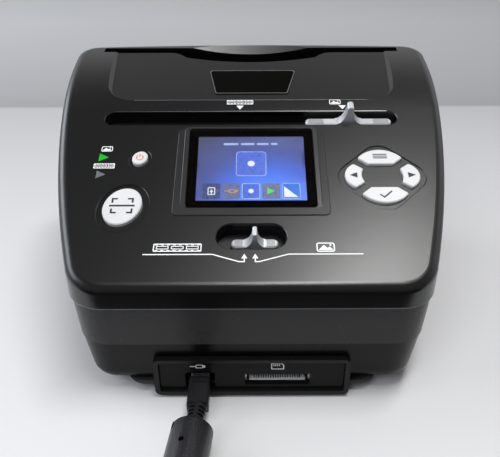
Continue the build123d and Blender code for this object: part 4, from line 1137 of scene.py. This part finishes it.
def screw_recesses():
    """Painted shade for the cross recesses in the screws' heads under the case."""
    recess = Repeat("screw_recesses")
    recess.input("Arm", "NodeSocketVector", Vector(screw_arm) * METRE)
    recess.begin()
    cross = recess.add("GeometryNodeJoinGeometry")
    for turn in (0.0, math.pi / 2):
        arm = recess.add("GeometryNodeMeshCube")
        recess.link(recess.given.outputs["Arm"], arm.inputs["Size"])
        turned = recess.add("GeometryNodeTransform")
        turned.inputs["Rotation"].default_value = (0.0, 0.0, turn)
        recess.link(arm.outputs["Mesh"], turned.inputs["Geometry"])
        recess.link(turned.outputs["Geometry"], cross.inputs["Geometry"])
    recess.end(recess.given.outputs["Geometry"], cross.outputs["Geometry"], hole_black)
    places = [Vector((x, y, screw_face_z)) * METRE for x, y in screw_places]
    mesh = recess.mesh("screw_recesses", places)
    add_piece("screw_recesses", mesh, "housing")


grip_dots()
card_pins()
screw_recesses()


# Fine edges of the cover's foot, the film light's slot and the roof's recess, each with a painted
# highlight in its colour


def bead(name, runs, radius, material):
    """A round bead along each run of places."""
    holder = bpy.data.objects.new(name, round_curve(name, "POLY", runs, radius, 3))
    scene.collection.objects.link(holder)
    mesh = plain_mesh(name, holder)
    mesh.materials.clear()
    mesh.materials.append(material)
    for face in mesh.polygons:
        face.use_smooth = True
    add_piece(name, mesh, "housing")


def cover_outline(height):
    """The corners of the cover's outside at a height, in order, from a cut through its mesh."""
    cut = bmesh.new()
    cut.from_mesh(nodes["top_cover"].data)
    everything = cut.verts[:] + cut.edges[:] + cut.faces[:]
    level = (0.0, 0.0, height * METRE)
    made = bmesh.ops.bisect_plane(cut, geom=everything, plane_co=level, plane_no=(0.0, 0.0, 1.0))
    corners = [part.co for part in made["geom_cut"] if isinstance(part, bmesh.types.BMVert)]
    places = sorted({(round(co.x / METRE, 3), round(co.y / METRE, 3)) for co in corners})
    cut.free()

    def side(points):
        chain = []
        for point in points:
            while len(chain) > 1:
                (ax, ay), (bx, by) = chain[-2], chain[-1]
                if (bx - ax) * (point[1] - ay) - (by - ay) * (point[0] - ax) > 0:
                    break
                chain.pop()
            chain.append(point)
        return chain[:-1]

    return side(places) + side(places[::-1])


def cover_lip():
    """A fine round edge along the cover's foot, open where the film path goes through, pale with a
    painted highlight.
    """
    outline = cover_outline(lip_outline_height)
    count = len(outline)
    inner = []
    for i in range(count):
        (ax, ay), (bx, by) = outline[i - 1], outline[(i + 1) % count]
        long = math.hypot(bx - ax, by - ay)
        x, y = outline[i]
        inner.append((x - lip_radius * (by - ay) / long, y + lip_radius * (bx - ax) / long))

    def in_film_path(i):
        x, y = inner[i % count]
        return abs(x) > film_side_x and film_front_y < y < film_rear_y

    gaps = [i for i in range(count) if in_film_path(i) and in_film_path(i + 1)]
    runs = []
    for start, end in zip(gaps, gaps[1:] + [gaps[0] + count]):
        runs.append([(*inner[i % count], lip_height) for i in range(start + 1, end + 1)])
    bead("cover_lip", runs, lip_radius, lip_black)


def slot_rim():
    """The fine round edge behind the film light's slot, which catches the light; its pale stretch is a
    painted highlight in its colour.
    """
    edge = light_slot_v + light_slot_wide / 2 + slot_rim_radius / 2
    reach = (light_slot_long - light_slot_wide) / 2
    ends = [panel_point(u, edge, 0.0) for u in (-reach, reach)]
    bead("slot_rim", [ends], slot_rim_radius, rim_grey)


def recess_rim():
    """The fine round edge along the front of the roof's recess, pale with a painted highlight."""
    y = recess_front_y - recess_front_depth
    ends = [(u, y, roof_height(y)) for u in (-recess_front_half, recess_front_half)]
    bead("recess_rim", [ends], recess_rim_radius, lip_black)


cover_lip()
slot_rim()
recess_rim()


# Marks on the lead: painted shade in its hole, slit and grooves


def round_place(radius):
    """Places on a round part of the lead: u round it from the top, v along it from the plug."""
    along = Vector((-math.sin(lead_lean), -math.cos(lead_lean), 0.0))
    across = Vector((math.cos(lead_lean), -math.sin(lead_lean), 0.0))
    up = Vector((0.0, 0.0, 1.0))

    def place(u, v, rise):
        turn = u / radius
        out = across * math.sin(turn) + up * math.cos(turn)
        return Vector(lead_exit) + along * v + out * (radius + rise)

    return place


def lead_marks():
    """Painted shade for the hole and the slit in the ferrite's shell, and for the grooves of the plug's
    relief.
    """
    marks = disc(*ferrite_hole, ferrite_hole_radius)
    marks.append(rounded(*ferrite_slit, *ferrite_slit_size, ferrite_slit_corner))
    ferrite = round_place(ferrite_radius)
    print_on("ferrite_painted_shade", marks, ferrite, hole_black, "housing", 0.08)
    wide = (groove_end - groove_start) / groove_steps
    grooves = [
        box(side * (groove_start + (k + 0.5) * wide), v, wide, groove_wide)[0]
        for v in groove_places
        for side in (-1, 1)
        for k in range(groove_steps)
    ]
    relief = round_place(groove_radius)
    # Black strips in the relief's grooves: painted shade.
    print_on("relief_groove_shade", grooves, relief, hole_black, "housing", 0.04)


lead_marks()


# Floor and light


def sheet(name, near, far, half, level, material):
    """A flat sheet of the surroundings, between two places on Y."""
    mesh = bpy.data.meshes.new(name)
    corners = [(-half, near, level), (half, near, level), (half, far, level), (-half, far, level)]
    mesh.from_pydata(corners, [], [(0, 1, 2, 3)])
    mesh.materials.append(material)
    piece = bpy.data.objects.new(name, mesh)
    scene.collection.objects.link(piece)
    return piece


def floor():
    """A pale floor with painted light and shade: it darkens away from the viewer up to a step, as where
    a backdrop begins.
    """
    made = Finish("floor")
    depth = made.remap(made.along("Y"), 0.0, 1.0, floor_tones_from, floor_tones_to)
    # Painted light and shade: lighter near the viewer, where more light falls, darker towards the step,
    # darkest at the backdrop's foot, then lighter again further back.
    tones = made.ramp(
        depth,
        [
            (0.0, (0.71, 0.71, 0.724)),
            (0.20, (0.58, 0.58, 0.591)),
            (0.3947, (0.445, 0.445, 0.454)),
            (0.3965, (0.305, 0.308, 0.318)),
            (0.42, (0.340, 0.344, 0.355)),
            (0.50, (0.424, 0.428, 0.442)),
            (0.64, (0.560, 0.566, 0.585)),
            (1.0, (0.69, 0.70, 0.72)),
        ],
    )
    made.colour(tones)
    made.rough(made.remap(made.noise(60.0, 3.0), 0.75, 0.85))
    made.bump(made.noise(1.5, 2.0), 0.02)
    sheet("floor", -floor_half, floor_half, floor_half, cad_low[2], made.material)


def softbox(name, place, target, width, tall, power, colour, mirrored=True):
    """An area light. One that is not mirrored lights surfaces without showing in their gloss."""
    light = bpy.data.lights.new(name, "AREA")
    light.shape = "RECTANGLE"
    light.size = width
    light.size_y = tall
    light.energy = power
    light.color = colour
    piece = bpy.data.objects.new(name, light)
    piece.location = place
    piece.visible_glossy = mirrored
    piece.rotation_euler = (Vector(target) - Vector(place)).to_track_quat("-Z", "Y").to_euler()
    scene.collection.objects.link(piece)


def surroundings():
    """A dim room with a lit wall behind the object, up to about half way to overhead."""
    world = bpy.data.worlds.new("room")
    world.use_nodes = True
    room = NodeTree(world.node_tree)
    background = world.node_tree.nodes["Background"]
    way = room.add("ShaderNodeTexCoord").outputs["Generated"]
    tones = [(0.0, 0.46), (0.50, 0.88), (0.66, 0.60), (0.74, 0.12), (0.82, 0.015), (1.0, 0.008)]
    greys = [(place, (tone, tone, tone * 1.03)) for place, tone in tones]
    room.link(room.ramp(room.part(way, "Z"), greys), background.inputs["Color"])
    behind = room.remap(room.part(way, "Y"), 0.3, 1.0, -0.3, 0.2)
    room.link(behind, background.inputs["Strength"])
    scene.world = world


def dark_card():
    """A black card on the floor before the object, which only shows in what it mirrors."""
    made = Finish("dark_card")
    fibres = made.noise(0.8, 2.0)
    made.colour(made.ramp(fibres, [(0.3, (0.004, 0.004, 0.005)), (0.7, (0.008, 0.008, 0.009))]))
    made.rough(made.remap(fibres, 0.8, 0.9))
    place = (dark_card_front, dark_card_rear, dark_card_half, dark_card_rise)
    piece = sheet("dark_card", *place, made.material)
    piece.visible_camera = False
    piece.visible_diffuse = False
    piece.visible_transmission = False
    piece.visible_shadow = False


floor()
dark_card()
surroundings()
softbox("softbox_right", (0.16, -0.115, 1.0), (0.05, -0.05, 0.05), 0.58, 0.10, 6.8, (1.0, 1.0, 0.99))
softbox("fill_top", (0.05, -0.13, 1.0), (0.05, -0.05, 0.05), 0.54, 0.15, 1.6, (1.0, 1.0, 0.99), False)
softbox("softbox_left", (-1.0, 0.20, 0.60), (0.0, 0.0, 0.05), 1.20, 0.50, 7.4, (0.88, 0.93, 1.0))
softbox("fill_front", (-0.4, -0.75, 1.0), (0.0, -0.12, 0.0), 0.5, 0.5, 4.6, (0.97, 0.98, 1.0), False)
